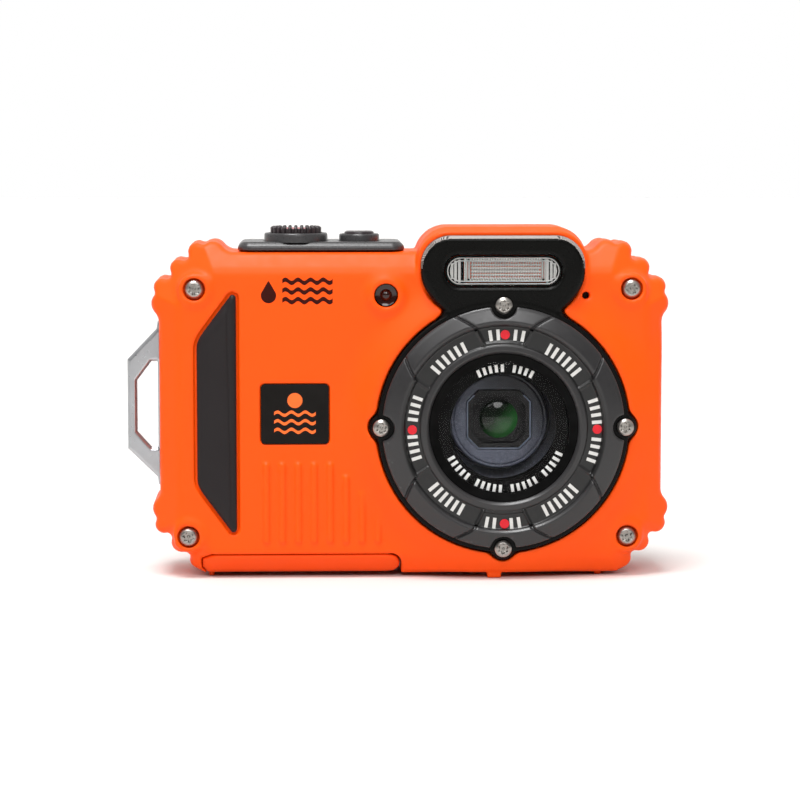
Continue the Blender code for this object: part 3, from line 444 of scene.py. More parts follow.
def finish(name, colour, roughness, vary=0.05, patch=120, grain=0.05, grain_size=0.25, metallic=0.0, wear=0.0,
           coat=0.0, specular=0.4, scratch=0.0, speck=0.0, alpha=1.0):
    """A surface of an 8-bit colour: drift, uneven gloss, fine grain, rubbed edges and faint scratches."""
    made = bpy.data.materials.new(name)
    made.use_nodes = True
    nodes, links = made.node_tree.nodes, made.node_tree.links
    shader = nodes["Principled BSDF"]
    for socket, value in (("Metallic", metallic), ("Coat Weight", coat), ("Coat Roughness", 0.12),
                          ("Specular IOR Level", specular), ("Alpha", alpha)):
        shader.inputs[socket].default_value = value
    place = nodes.new("ShaderNodeTexCoord")

    def noise(scale, detail=3.0):
        made_noise = nodes.new("ShaderNodeTexNoise")
        made_noise.inputs["Scale"].default_value = scale
        made_noise.inputs["Detail"].default_value = detail
        links.new(place.outputs["Object"], made_noise.inputs["Vector"])
        return made_noise.outputs["Fac"]

    def mix(factor, a, b):
        blend = nodes.new("ShaderNodeMix")
        blend.data_type = "RGBA"
        links.new(factor, blend.inputs["Factor"])
        for socket, value in ((6, a), (7, b)):
            if isinstance(value, tuple):
                blend.inputs[socket].default_value = (*value, 1)
            else:
                links.new(value, blend.inputs[socket])
        return blend.outputs[2]

    def ranged(factor, low, high, to_low=0.0, to_high=1.0):
        remap = nodes.new("ShaderNodeMapRange")
        links.new(factor, remap.inputs["Value"])
        ends = zip(("From Min", "From Max", "To Min", "To Max"), (low, high, to_low, to_high))
        for socket, value in ends:
            remap.inputs[socket].default_value = value
        return remap.outputs["Result"]

    colour = linear(*colour)
    dark = tuple(c * (1 - vary) for c in colour)
    light = tuple(min(c * (1 + vary) + vary * 0.01, 1.0) for c in colour)
    base = mix(ranged(noise(patch), 0.3, 0.7), dark, light)
    if speck:
        base = mix(ranged(noise(5200, 1.0), 0.60, 0.70), base, tuple(c * (1 + speck) for c in colour))
    if wear:
        edge = nodes.new("ShaderNodeNewGeometry").outputs["Pointiness"]
        base = mix(ranged(edge, 0.53, 0.62, 0.0, wear), base, tuple(min(c * 1.6 + 0.06, 1.0) for c in colour))
    links.new(base, shader.inputs["Base Color"])
    gloss = ranged(noise(patch * 6), 0.3, 0.7, roughness * 0.9, roughness * 1.12)
    links.new(gloss, shader.inputs["Roughness"])
    height = noise(600 / grain_size, 2.0)
    if scratch:
        stretch = nodes.new("ShaderNodeMapping")
        stretch.inputs["Scale"].default_value = (400, 400, 9000)
        links.new(place.outputs["Object"], stretch.inputs["Vector"])
        brushed = nodes.new("ShaderNodeTexNoise")
        brushed.inputs["Scale"].default_value = 1.0
        links.new(stretch.outputs["Vector"], brushed.inputs["Vector"])
        height = brushed.outputs["Fac"]
    bump = nodes.new("ShaderNodeBump")
    bump.inputs["Strength"].default_value = scratch or grain
    bump.inputs["Distance"].default_value = 0.04 * MM
    links.new(height, bump.inputs["Height"])
    links.new(bump.outputs["Normal"], shader.inputs["Normal"])
    return made


ORANGE = finish("moulded_orange", (248, 80, 0), 0.45, vary=0.02, patch=60, grain=0.12, grain_size=0.22,
                wear=0.05, specular=0.2)
ORANGE_DOOR = finish("moulded_orange_door", (240, 75, 0), 0.45, vary=0.02, patch=60, grain=0.12, wear=0.05,
                     specular=0.2)
GRIP = finish("grip_rubber_satin", (33, 29, 30), 0.40, specular=0.18, patch=90, grain=0.10, grain_size=0.3,
              wear=0.2)
BLACK = finish("satin_black", (7, 7, 6), 0.28, vary=0.08, patch=150, grain=0.04, grain_size=0.2, wear=0.1,
               specular=0.10)
DECK = finish("deck_satin", (52, 51, 52), 0.28, patch=150, grain=0.08, grain_size=0.2, wear=0.15)
DECK_KEY = finish("deck_key_satin", (44, 36, 39), 0.30, vary=0.06, patch=200, grain=0.08, wear=0.2)
KEY = finish("key_satin", (62, 62, 64), 0.40, vary=0.06, patch=200, grain=0.10, grain_size=0.2, wear=0.2)
# Ring paint; its tick trough gets painted shade below.
RING_PAINTED_SHADE = finish("ring_satin_painted_shade", (37, 36, 37), 0.32, specular=0.5, vary=0.06, patch=160, grain=0.10, wear=0.3)
PAINT = {"patch": 900, "grain_size": 0.12}
MARK_WHITE = finish("paint_white", (204, 203, 200), 0.5, grain=0.2, **PAINT)
MARK_RED = finish("paint_red", (206, 18, 36), 0.42, vary=0.06, grain=0.2, **PAINT)
PRINT_WHITE = finish("print_white", (248, 248, 246), 0.5, vary=0.02, grain=0.1, **PAINT)
MARK_DARK = finish("print_brown", (52, 12, 6), 0.7, specular=0.1, vary=0.08, grain=0.1, **PAINT)
MARK_ORANGE = finish("print_orange", (240, 104, 30), 0.5, grain=0.1, **PAINT)
STEEL = finish("screw_steel", (158, 154, 149), 0.30, vary=0.10, patch=900, grain=0.10, grain_size=0.6,
               metallic=1.0)
CHROME = finish("bracket_chrome", (176, 177, 180), 0.30, vary=0.04, patch=200, metallic=1.0, scratch=0.10)
REFLECTOR = finish("reflector_bright", (236, 236, 232), 0.14, vary=0.03, patch=300, metallic=1.0)
MASK = finish("mask_black", (5, 5, 5), 0.35, specular=0.05, vary=0.2, patch=300, grain_size=0.2)
# Speckled grey barrel paint; painted shade darkens it towards the upper right below.
BARREL_PAINTED_SHADE = finish("barrel_speckled_painted_shade", (98, 103, 120), 0.40, vary=0.22, patch=1400, grain=0.6, grain_size=0.16,
                speck=1.2)
HOOD = finish("hood_black", (12, 12, 14), 0.25, specular=0.25, vary=0.15, patch=500, grain=0.08,
              grain_size=0.15)
# Painted highlight: light blue-grey for the lit bevel edges of the lens baffle's opening.
EDGE_PAINTED_HIGHLIGHT = finish("hood_edge_painted_highlight", (120, 130, 150), 0.25, vary=0.10, patch=500, grain=0.1, grain_size=0.15)
SEAL = finish("seal_rubber_black", (38, 37, 36), 0.7, vary=0.10, patch=300, grain=0.3, grain_size=0.2)
GLOSS = finish("panel_gloss", (14, 15, 17), 0.10, vary=0.15, grain=0.01, grain_size=1.0, coat=0.6)
DISPLAY = finish("display_grey", (30, 33, 38), 0.25, vary=0.06, patch=300, grain=0.04, grain_size=0.15)
CELL = finish("battery_wrap", (150, 152, 156), 0.45, patch=150, grain=0.08)
BOARD = finish("board_green", (30, 96, 62), 0.45, vary=0.22, patch=900, grain=0.5, grain_size=0.5, speck=1.4)
PORT = finish("port_black", (12, 12, 12), 0.6, vary=0.2, patch=600, grain=0.3, grain_size=0.2)
# Painted highlight: a light colour for the lit top bevel of the black gloss flash plate.
BEVEL_PAINTED_HIGHLIGHT = finish("plate_edge_painted_highlight", (150, 142, 138), 0.22, vary=0.06, patch=150, grain=0.04)
# Painted highlight: light grey for the lit beads and ribs of the clear flash window.
RIM_PAINTED_HIGHLIGHT = finish("painted_highlight_rim", (176, 176, 174), 0.25, patch=500)
SHUTTER_RED = finish("shutter_red", (168, 52, 62), 0.3, vary=0.06, patch=600, grain=0.3, grain_size=0.3)
BADGE_BLACK = finish("badge_black", (17, 14, 12), 0.45, vary=0.10, patch=300, grain=0.12, grain_size=0.15,
                     specular=0.12)
LAMP_GLASS = finish("lamp_glass", (40, 14, 9), 0.10, vary=0.12, patch=600, grain=0.02, specular=0.5)
GLASS = {"vary": 0.02, "grain": 0.01, "grain_size": 1.5, "specular": 0.5}
CLEAR = finish("window_clear", (39, 39, 39), 0.02, alpha=0.06, **GLASS)
PRISM = finish("prism_clear", (190, 188, 184), 0.16, alpha=0.80, **GLASS)
# Painted reflection: the coating's green reflection is given as the lens's base colour.
LENS_PAINTED_REFLECTION = finish("coated_lens_painted_reflection", (34, 96, 40), 0.05, vary=0.3, patch=400, grain=0.0, specular=0.35)


def paint_shade(made, factor, share):
    """Paints shade: multiplies a paint's colour by share where factor is 1."""
    nodes, links = made.node_tree.nodes, made.node_tree.links
    base = nodes["Principled BSDF"].inputs["Base Color"]
    blend = nodes.new("ShaderNodeMix")
    blend.data_type, blend.blend_type = "RGBA", "MULTIPLY"
    links.new(factor, blend.inputs["Factor"])
    links.new(base.links[0].from_socket, blend.inputs[6])
    blend.inputs[7].default_value = (share, share, share, 1)
    links.new(blend.outputs[2], base)


def paint_shade_band(made, centre, inner, outer, share):
    """Paints shade into a band between two radii round an axis along Y, in mm."""
    nodes, links = made.node_tree.nodes, made.node_tree.links
    place, flat, reach = (nodes.new(f"ShaderNode{kind}") for kind in ("TexCoord", "VectorMath", "VectorMath"))
    flat.operation, reach.operation = "MULTIPLY", "DISTANCE"
    flat.inputs[1].default_value = (1, 0, 1)
    reach.inputs[1].default_value = (centre[0] * MM, 0, centre[1] * MM)
    links.new(place.outputs["Object"], flat.inputs[0])
    links.new(flat.outputs["Vector"], reach.inputs[0])
    ramp, scale = nodes.new("ShaderNodeValToRGB"), nodes.new("ShaderNodeMath")
    spread = 30 * MM
    for stop, (radius, value) in enumerate(((inner - 0.35, 0), (inner, 1), (outer, 1), (outer + 0.3, 0))):
        place_at = radius * MM / spread
        element = ramp.color_ramp.elements[stop] if stop < 2 else ramp.color_ramp.elements.new(place_at)
        element.position = place_at
        element.color = (value, value, value, 1)
    scale.operation = "DIVIDE"
    scale.inputs[1].default_value = spread
    links.new(reach.outputs["Value"], scale.inputs[0])
    links.new(scale.outputs[0], ramp.inputs[0])
    paint_shade(made, ramp.outputs["Color"], share)


def paint_shade_across(made, low, high, share):
    """Paints shade into a colour, growing evenly from one (x, z) point to another, in mm."""
    nodes, links = made.node_tree.nodes, made.node_tree.links
    start, end = (Vector((x, 0, z)) * MM for x, z in (low, high))
    run = end - start
    place, along, remap = (nodes.new(f"ShaderNode{kind}") for kind in ("TexCoord", "VectorMath", "MapRange"))
    along.operation = "DOT_PRODUCT"
    along.inputs[1].default_value = run
    links.new(place.outputs["Object"], along.inputs[0])
    remap.interpolation_type = "SMOOTHSTEP"
    remap.inputs["From Min"].default_value = start.dot(run)
    remap.inputs["From Max"].default_value = end.dot(run)
    links.new(along.outputs["Value"], remap.inputs["Value"])
    paint_shade(made, remap.outputs["Result"], share)


# Painted shade: the ring's tick trough, between radii 16.5 and 20 mm, is darkened to 22 % as shade in its
# recess.
paint_shade_band(RING_PAINTED_SHADE, (LENS_X, LENS_Z), 16.5, 20.0, 0.22)
# Painted shade: the barrel paint darkens towards the upper right, to 12 %, as shade inside the lens well.
paint_shade_across(BARREL_PAINTED_SHADE, (LENS_X - 5.5, LENS_Z - 5.5), (LENS_X + 5.0, LENS_Z + 7.5), 0.12)


# ---------------------------------------------------------------- case shells and door

CASE_OUTLINE = case_outline()
GRIP_OUTLINE = grip_outline()
DOOR_OUTLINE = door_outline()
CASE_SCREWS = [centre_xz(f"case_screw_{i}") for i in (1, 2, 3, 4)]
RING_SCREWS = [centre_xz(f"ring_screw_{i}") for i in (1, 2, 3, 4)]
LAMP = centre_xz("af_lamp")
MIC = centre_xz("microphone")
RIB_TOPS = (23.1, 23.1, 23.1, 23.1, 23.1, 20.6, 17.3, 14.5)
RIB_X, RIB_PITCH, RIB_BOTTOM_Z = -26.2, 3.15, 7.6
CAVITY = ((-44.8, 7.0), (49.7, 62.2), 16.5)  # low corner, high corner, width of its cut corners
LIFT = 0.9  # how much higher the hump is behind the flash plate
RIGHT_FOOT = ((39.2, -5.5), (40.6, 9.5))
LENS_FOOT = ((17.6, FRONT_Y - 0.5), (20.3, -3.0))
DOOR_BACK_Y = 9.5
BEVEL_LOW = (CASE_X - HALF_WIDTH + 4.1, BOTTOM_Z + 3.6)
BEVEL_HIGH = (CASE_X + HALF_WIDTH - 3.2, TOP_Z - 3.6)


def cut_rect(x, z, low, high, corner):
    """Distance to a rectangle with its corners cut at 45 degrees, with mitred sides."""
    dx = np.abs(x - (low[0] + high[0]) / 2)
    dz = np.abs(z - (low[1] + high[1]) / 2)
    half, tall = (high[0] - low[0]) / 2, (high[1] - low[1]) / 2
    return np.maximum(np.maximum(dx - half, dz - tall), (dx + dz - half - tall + corner) * math.sqrt(0.5))


def front_bevel(x, y, z):
    return slope(cut_rect(x, z, BEVEL_LOW, BEVEL_HIGH, CORNER_CUT), y - FRONT_Y, CHAMFER)


def flash_shape(x, z, lift=0.0):
    """Distance to the flash plate's outline; lift raises its top edge."""
    low, high = (FLASH_X - FLASH_HALF_WIDTH, 30), (FLASH_X + FLASH_HALF_WIDTH, FLASH_TOP_Z)
    top = block(x, z - lift, low, high, FLASH_CORNER)
    neck = np.clip((60.9 - z) / 7.7, 0, 1)
    side = (np.abs(x - FLASH_X) - FLASH_HALF_WIDTH + 4.6 * neck * neck) * 0.85
    return both(both(top, side), 46.0 - z)


def fascia_shape(x, z):
    shape = union(disc(x, z, (LENS_X, LENS_Z), FASCIA_RADIUS), flash_shape(x, z), 1.6)
    for u, v in ((-1, 0), (0, -1), (1, 0)):
        ear = disc(x, z, (LENS_X + u * SCREW_CIRCLE, LENS_Z + v * SCREW_CIRCLE), 2.5)
        shape = union(shape, ear, 1.2)
    return shape


def hinge_space(x, z):
    hx, hz, radius = HINGE
    swing = disc(x, z, (hx, hz), radius + 0.3)
    below = both(np.abs(x - hx) - radius - 0.3, z - hz)
    return all_of(swing, below, polygon(DOOR_OUTLINE, x, z) - 0.12)


def case_hollows(x, y, z):
    """Room inside the two shells for the works, the battery and the card."""
    low, high, corner = CAVITY
    hollow = both(cut_rect(x, z, low, high, corner), slab(y, FRONT_Y + 2.0, REAR_Y - 2.0), 0.6)
    hollow = all_of(hollow, both(block(x, z, (6.9, 58), (33.9, 67.2), 3.0), slab(y, FRONT_Y + 2.5, 6.5)))
    for low, high in (((-36.4, -6.7), (-4.6, 1.3)), ((-34.4, 4.9), (-9.6, 7.6))):
        hollow = all_of(hollow, both(block(x, y, low, high, 0.5), slab(z, 4.0, 16.0)))
    for node in ("shutter_button", "power_button"):
        hollow = all_of(hollow, both(disc(x, y, node_centre(node), 2.0), 60.0 - z))
    return hollow


def front_shell_field(x, y, z):
    outline = polygon(CASE_OUTLINE, x, z)
    shell = both(outline, front_bevel(x, y, z), 0.9)
    shell = both(shell, FRONT_Y - y, 0.8)
    for xz in CASE_SCREWS:
        pad = both(disc(x, z, xz, 3.1), FRONT_Y - y, 0.8)
        shell = union(shell, both(pad, outline + 0.3, 0.6), 1.4)
    r = np.hypot(x - LENS_X, z - LENS_Z)
    boss = BOSS_TOP_RADIUS + 0.4
    cone = slope(r - boss, y - BOSS_FRONT_Y, (BOSS_BASE_RADIUS - boss, 2.2))
    cone = both(both(cone, BOSS_FRONT_Y - y, 0.5), outline + 0.2, 0.8)
    shell = union(shell, cone, 1.2)
    lamp = slope(disc(x, z, LAMP, 3.3), y - FRONT_Y + 0.8, (0.8, 0.8))
    shell = union(shell, both(lamp, slab(y, FRONT_Y - 0.8, FRONT_Y + 1.5), 0.3), 0.9)
    for i, top in enumerate(RIB_TOPS):
        rx = RIB_X + i * RIB_PITCH
        rib = both(segment(x, z, (rx, RIB_BOTTOM_Z), (rx, top - 0.6), 0.62), FRONT_Y - 0.45 - y, 0.4)
        shell = union(shell, rib, 0.35)
    rise = LIFT * np.clip((y - FRONT_Y) / 2.6, 0, 1)
    hump = both(flash_shape(x, z, rise) - 0.7, FRONT_Y - y, 0.4)
    shell = union(shell, hump, 0.5)
    feet = all_of(both(block(x, y, *RIGHT_FOOT, 0.3), slab(z, 0.0, 2.5)),
                  both(block(x, y, *LENS_FOOT, 0.3), slab(z, 0.0, 3.0)))
    shell = union(shell, feet, 0.2)
    shell = both(shell, y - SPLIT_Y + SEAM, 0.15)
    low, high = node_box("strap_bracket")
    strap = both(slab(y, low[1] - 0.2, 1.8), slab(z, low[2] - 0.2, high[2] + 0.2))
    depth = y - FRONT_Y
    spaces = [
        both(fascia_shape(x, z) - 0.22, depth),
        both(r - 13.6, depth - 3),
        both(disc(x, z, LAMP, 2.35), depth - 3),
        both(disc(x, z, MIC, 0.75), depth - 3),
        both(polygon(GRIP_OUTLINE, x, z) - 0.25, depth - 0.7),
        both(block(x, z, *box_xz("badge_plate"), 0.8) - 0.12, depth - 0.6),
        both(strap, x - high[0] - 0.2),
        both(hinge_space(x, z), y - DOOR_BACK_Y - 0.3),
    ]
    for xz in CASE_SCREWS:
        spaces += [both(disc(x, z, xz, 2.2), depth - 1.4), disc(x, z, xz, 1.3)]
    return cut(shell, all_of(*spaces, case_hollows(x, y, z)), 0.25)


ROUND_KEYS = ("movie_button", "play_button", "menu_button", "delete_button")
PAD = centre_xz("ok_button")
ROCKER_LOW, ROCKER_HIGH = node_box("zoom_rocker")
TRIPOD = tuple(node_centre("tripod_insert")[:2])


def rear_shell_field(x, y, z):
    outline = polygon(CASE_OUTLINE, x, z)
    shell = both(outline, slope(outline + 0.9, REAR_Y - y, (0.9, 1.3)), 0.8)
    shell = both(shell, y - REAR_Y, 0.5)
    fade = np.clip((y - 7.4) / 3.0, 0, 1)
    hump = both(flash_shape(x, z, LIFT * (1 - fade)) - 0.7 + 1.4 * fade * fade, y - 10.4, 1.6)
    shell = union(shell, hump, 0.8)
    shell = union(shell, both(block(x, y, *RIGHT_FOOT, 0.3), slab(z, 0.0, 2.5)), 0.2)
    thumb = both(segment(x, z, (-43.0, 22.0), (-43.0, 40.0), 1.9), y - REAR_Y - 0.45, 0.5)
    shell = union(shell, thumb, 0.5)
    shell = both(shell, SPLIT_Y + SEAM - y, 0.15)
    seal_groove = cut_rect(x, z, *CAVITY) - 1.6
    spaces = [
        both(disc(x, z, PAD, 8.7), 8.4 - y),
        both(block(x, z, *box_xz("zoom_rocker", 0.3), 2.7), 9 - y),
        both(block(x, z, *box_xz("display_window", 0.15), 2.1), REAR_Y - 1.2 - y),
        both(block(x, z, (-7.4, 13.2), (47.2, 54.3)), 8.4 - y),
        both(disc(x, y, TRIPOD, 4.15), z - 7.5),
        both(hinge_space(x, z), y - DOOR_BACK_Y - 0.3),
        both(disc(x, z, HINGE, 0.8), y - 11.4),
        both(seal_groove, y - SPLIT_Y - 1.4),
    ]
    for node in ROUND_KEYS:
        xz = centre_xz(node)
        dish = (disc(x, z, xz, 3.6) - (y - REAR_Y + 0.6)) * 0.7
        spaces += [both(disc(x, z, xz, 2.85), 11.0 - y), dish]
    for xz in CASE_SCREWS:
        spaces.append(both(disc(x, z, xz, 1.3), y - 9.0))
    return cut(shell, all_of(*spaces, case_hollows(x, y, z)), 0.25)


def door_field(x, y, z):
    outline = polygon(DOOR_OUTLINE, x, z) + 0.05
    door = both(outline, front_bevel(x, y, z), 0.9)
    door = both(door, slab(y, FRONT_Y, DOOR_BACK_Y), 0.5)
    door = union(door, both(block(x, y, (-37.7, -5.0), (-36.7, 8.0), 0.3), slab(z, 0.0, 2.0)), 0.2)
    battery_room = both(block(x, y, (-35.5, -6.6), (-4.4, 7.4), 0.5), 3.3 - z)
    latch_slot = both(block(x, y, (-35.9, -0.4), (-25.8, 5.4), 0.3), z - 2.2)
    pin_hole = both(disc(x, z, HINGE, 0.9), -6.4 - y)
    return cut(door, all_of(battery_room, latch_slot, pin_hole), 0.2)


def carve_node(name, node, field, step, material, body="root", slot=None):
    """Carves the piece that takes a CAD node's place, inside that node's box."""
    return carve(name, field, *node_box(node), step, material, body, (node,), slot)


carve_node("front_case", "front_shell", front_shell_field, 0.42, ORANGE, slot="orange_shell")
carve_node("rear_case", "rear_shell", rear_shell_field, 0.42, ORANGE, slot="orange_shell")
carve_node("battery_hatch", "battery_door", door_field, 0.36, ORANGE_DOOR, "battery_door", "orange_shell")

# ---------------------------------------------------------------- fascia, lens ring, grip, deck

WINDOW_LOW, WINDOW_HIGH = (8.9, 57.9), (32.0, 64.2)


def fascia_field(x, y, z):
    shape = fascia_shape(x, z)
    body = both(shape, slope(shape + 0.75, y - FASCIA_FRONT_Y, (0.75, 0.8)), 0.25)
    body = both(body, slab(y, FASCIA_FRONT_Y, FASCIA_BACK_Y), 0.2)
    r = np.hypot(x - LENS_X, z - LENS_Z)
    rim = both(slab(r, 24.1, 24.75), slab(y, FASCIA_FRONT_Y, FASCIA_BACK_Y))
    body = union(body, rim, 0.1)
    window = block(x, z, WINDOW_LOW, WINDOW_HIGH, 3.1)
    spaces = [r - 15.2, both(window, y), (window - 0.45 + y - FASCIA_FRONT_Y) * 0.7]
    spaces += [disc(x, z, xz, 0.95) for xz in RING_SCREWS]
    return cut(body, all_of(*spaces), 0.15)


def turn_from_axis(x, z):
    """Angle in degrees from the nearest of up, right, down and left, and whether that one is up or down."""
    angle = np.degrees(np.arctan2(x - LENS_X, z - LENS_Z))
    near = np.round(angle / 90)
    return np.abs(angle - near * 90), (near.astype(int) % 2) == 0


# Depth behind the ring's front at each radius: inner bevel, trough, crest and outer slope. The crest is
# further in at the two sides than elsewhere.
INNER_PROFILE = ((14.6, 1.15), (15.0, 0.7), (15.3, 0.45), (16.3, 0.60), (16.6, 0.95))
OUTER_PROFILE = ((23.3, 0.78), (23.9, 1.1))
RING_PROFILE = (*INNER_PROFILE, (20.0, 0.95), (20.3, 0.35), (20.7, 0.0), (21.1, 0.0), *OUTER_PROFILE)
SIDE_PROFILE = (*INNER_PROFILE, (19.3, 0.95), (19.6, 0.35), (20.0, 0.0), (20.6, 0.0), *OUTER_PROFILE)


def ring_field(x, y, z):
    r = np.hypot(x - LENS_X, z - LENS_Z)
    turn, upright = turn_from_axis(x, z)
    edge = np.where(upright, np.interp(r, (17.2, 20.7, 24), (13.9, 16.3, 24)),
                    np.interp(r, (16.9, 19.3, 24), (27.5, 28.3, 36)))
    middle = turn < edge
    aside = np.abs(np.radians(turn - edge)) * r
    face = np.where(middle & ~upright, np.interp(r, *zip(*SIDE_PROFILE)), np.interp(r, *zip(*RING_PROFILE)))
    face = face + 0.12 * (middle & upright & (r > 16.8) & (r < 20.1)) * np.clip(aside / 0.5, 0, 1)
    face = face - 0.35 * (middle & upright) * np.clip(1 - np.abs(r - 16.85) / 0.4, 0, 1)
    groove = 0.62 * np.clip(1 - aside / 0.45, 0, 1) * (r > 19.9)
    wall = 0.34 * np.clip(1 - aside / 0.40, 0, 1) * ((r > 16.6) & (r <= 19.9))
    body = np.maximum(RING_FRONT_Y + face + groove - wall - y, y - RING_BACK_Y) * 0.8
    body = both(both(body, r - RING_RADIUS, 0.2), 14.6 - r, 0.2)
    for u, v in ((-1, 0), (1, 0), (0, -1), (0, 1)):
        body = cut(body, disc(x, z, (LENS_X + u * SCREW_CIRCLE, LENS_Z + v * SCREW_CIRCLE), 2.5), 0.3)
    return body


DECK_SEAT_Z, DECK_WELL_Z = 66.1, 65.6


def grip_field(x, y, z):
    outline = polygon(GRIP_OUTLINE, x, z) + 0.02
    crown = slope(outline + 1.5, y - FRONT_Y + 0.9, (1.5, 0.85))
    grip = both(both(outline, crown, 1.0), slab(y, FRONT_Y - 0.9, FRONT_Y + 0.4), 0.5)
    crease = np.abs(x + 33.3 + 0.02 * (z - 33)) - 0.10
    return cut(grip, np.maximum(crease, y - FRONT_Y + 0.72), 0.5)


def deck_field(x, y, z):
    low, high = node_box("top_deck")
    outline = block(x, y, low[:2], high[:2], 2.6)
    deck = both(outline, slope(outline + 0.9, high[2] - z, (0.9, 0.9)), 0.3)
    deck = both(deck, slab(z, low[2], high[2]), 0.3)
    for node, seat, well in (("shutter_button", 6.6, 5.4), ("power_button", 4.3, 3.3)):
        centre = node_centre(node)
        deck = cut(deck, both(disc(x, y, centre, seat), DECK_SEAT_Z - z), 0.2)
        deck = cut(deck, both(disc(x, y, centre, well), DECK_WELL_Z - z), 0.1)
        deck = cut(deck, disc(x, y, centre, 2.0), 0.1)
    return deck


carve_node("flash_and_lens_fascia", "fascia", fascia_field, 0.26, BLACK, slot="black_gloss")
carve_node("lens_guard_ring", "lens_ring", ring_field, 0.2, RING_PAINTED_SHADE, slot="ring_grey")
carve_node("front_grip", "grip_pad", grip_field, 0.3, GRIP, slot="grip_rubber")
carve_node("deck_plate", "top_deck", deck_field, 0.22, DECK, slot="deck_black")

# ---------------------------------------------------------------- screws

def torx_screw(node, radius, depth):
    """A bevelled pan head with a six-lobed recess, made about its node's axis."""
    cx, _, cz = node_centre(node)
    low, high = node_box(node)
    top = low[1]

    def field(x, y, z):
        r = np.hypot(x - cx, z - cz)
        angle = np.arctan2(z - cz, x - cx) + cx
        head = both(r - radius, slope(r - radius + 0.55, y - top, (0.55, 0.45)), 0.12)
        head = both(head, slab(y, top, top + depth), 0.1)
        star = np.maximum(r - radius * (0.50 + 0.11 * np.cos(6 * angle)), y - top - 0.8) * 0.8
        pip = np.maximum(r - 0.14 * radius, top + 0.25 - y)
        shank = np.maximum(r - 0.9, slab(y, top + depth - 0.3, min(high[1], top + depth + 3)))
        return union(cut(head, star, 0.12), union(pip, shank), 0.05)

    low = (cx - radius, top, cz - radius)
    carve(f"{node}_torx", field, low, (cx + radius, top + depth + 3, cz + radius), 0.1, STEEL,
          replaces=(node,), slot="steel_screw")


for number in (1, 2, 3, 4):
    torx_screw(f"case_screw_{number}", 1.85, 1.2)
    torx_screw(f"ring_screw_{number}", 1.72, 0.9)

# ---------------------------------------------------------------- marks on the ring, mask and case

def strokes(name, items, y, thickness, material, body="root"):
    """Raised printing: each item is a closed outline of (x, z) points."""
    bm = bmesh.new()
    for outline in items:
        near = [bm.verts.new((u, y, v)) for u, v in outline]
        far = [bm.verts.new((u, y + thickness, v)) for u, v in outline]
        bm.faces.new(near)
        bm.faces.new(far[::-1])
        for i in range(len(near)):
            j = (i + 1) % len(near)
            bm.faces.new((near[j], near[i], far[i], far[j]))
    return finish_mesh(name, bm, material, body, ())


def radial_box(angle, inner, outer, width):
    """A short bar that points at the lens centre; the angle is clockwise from just past up."""
    a = math.radians(angle + 1)
    away, along = Vector((math.sin(a), math.cos(a))), Vector((math.cos(a), -math.sin(a)))
    corners = ((inner, -width), (outer, -width), (outer, width), (inner, width))
    return [tuple(Vector((MARK_X, MARK_Z)) + away * r + along * w / 2) for r, w in corners]


MARK_X, MARK_Z = LENS_X + 0.2, LENS_Z - 0.3
TROUGH_Y = RING_FRONT_Y + 0.95
ticks, dots = [], []
for quarter in (0, 90, 180, 270):
    upright = quarter in (0, 180)
    inner, outer = (17.6, 19.75) if upright else (17.2, 19.2)
    for k in ((5.2, 9.8) if upright else (5.4, 9.9, 14.4, 18.9)):
        ticks += [radial_box(quarter + side * k, inner, outer, 0.66) for side in (-1, 1)]
    start = 27.6 if upright else 90 - 27.6 - 22.5
    ticks += [radial_box(quarter + start + 4.5 * k, 16.75, 19.15, 0.66) for k in range(6)]
    spot = math.radians(quarter)
    reach = (inner + outer) / 2
    dots.append([(MARK_X + reach * math.sin(spot) + u, MARK_Z + reach * math.cos(spot) + v)
                 for u, v in arc(0, 0, 0.92, 0, 345, 23)])
strokes("ring_ticks", ticks, TROUGH_Y - 0.06, 0.25, MARK_WHITE)
strokes("ring_dots", dots, TROUGH_Y - 0.10, 0.28, MARK_RED)

# ---------------------------------------------------------------- lens window, mask and zoom lens

GLASS_FRONT_Y, GLASS_BACK_Y = (corner[1] for corner in node_box("lens_window"))
MASK_FRONT_Y, MASK_BACK_Y = (corner[1] for corner in node_box("window_mask"))
LINER_FRONT_Y = node_box("window_seal")[1][1] + 0.05
LINER_BACK_Y = node_box("lens_tube")[0][1] - 0.05
WINDOW_RADIUS = node_box("lens_window")[1][0] - LENS_X
LENS_CENTRE = (LENS_X, 0, LENS_Z)
port_glass = [(0, GLASS_FRONT_Y), (WINDOW_RADIUS - 0.3, GLASS_FRONT_Y), (WINDOW_RADIUS, GLASS_FRONT_Y + 0.2),
              (WINDOW_RADIUS, GLASS_BACK_Y), (0, GLASS_BACK_Y)]
lathe("port_glass", LENS_CENTRE, port_glass, 96, CLEAR, replaces=("lens_window",))
port_mask = [(10.4, MASK_FRONT_Y), (12.95, MASK_FRONT_Y), (12.95, MASK_BACK_Y), (10.55, MASK_BACK_Y),
             (10.4, MASK_BACK_Y - 0.1)]
lathe("port_mask", LENS_CENTRE, port_mask, 128, MASK, replaces=("window_mask",))
port_rim = [(12.9, GLASS_FRONT_Y + 0.05), (14.55, GLASS_FRONT_Y - 0.35), (14.75, GLASS_FRONT_Y - 0.1),
            (14.75, GLASS_BACK_Y + 0.2), (12.9, GLASS_FRONT_Y + 0.14)]
lathe("port_rim", LENS_CENTRE, port_rim, 128, MASK)
port_liner = [(13.15, LINER_FRONT_Y), (13.5, LINER_FRONT_Y), (13.5, LINER_BACK_Y), (13.15, LINER_BACK_Y)]
lathe("port_liner", LENS_CENTRE, port_liner, 96, MASK)
DASH_PITCH = 5.7
dashes = []
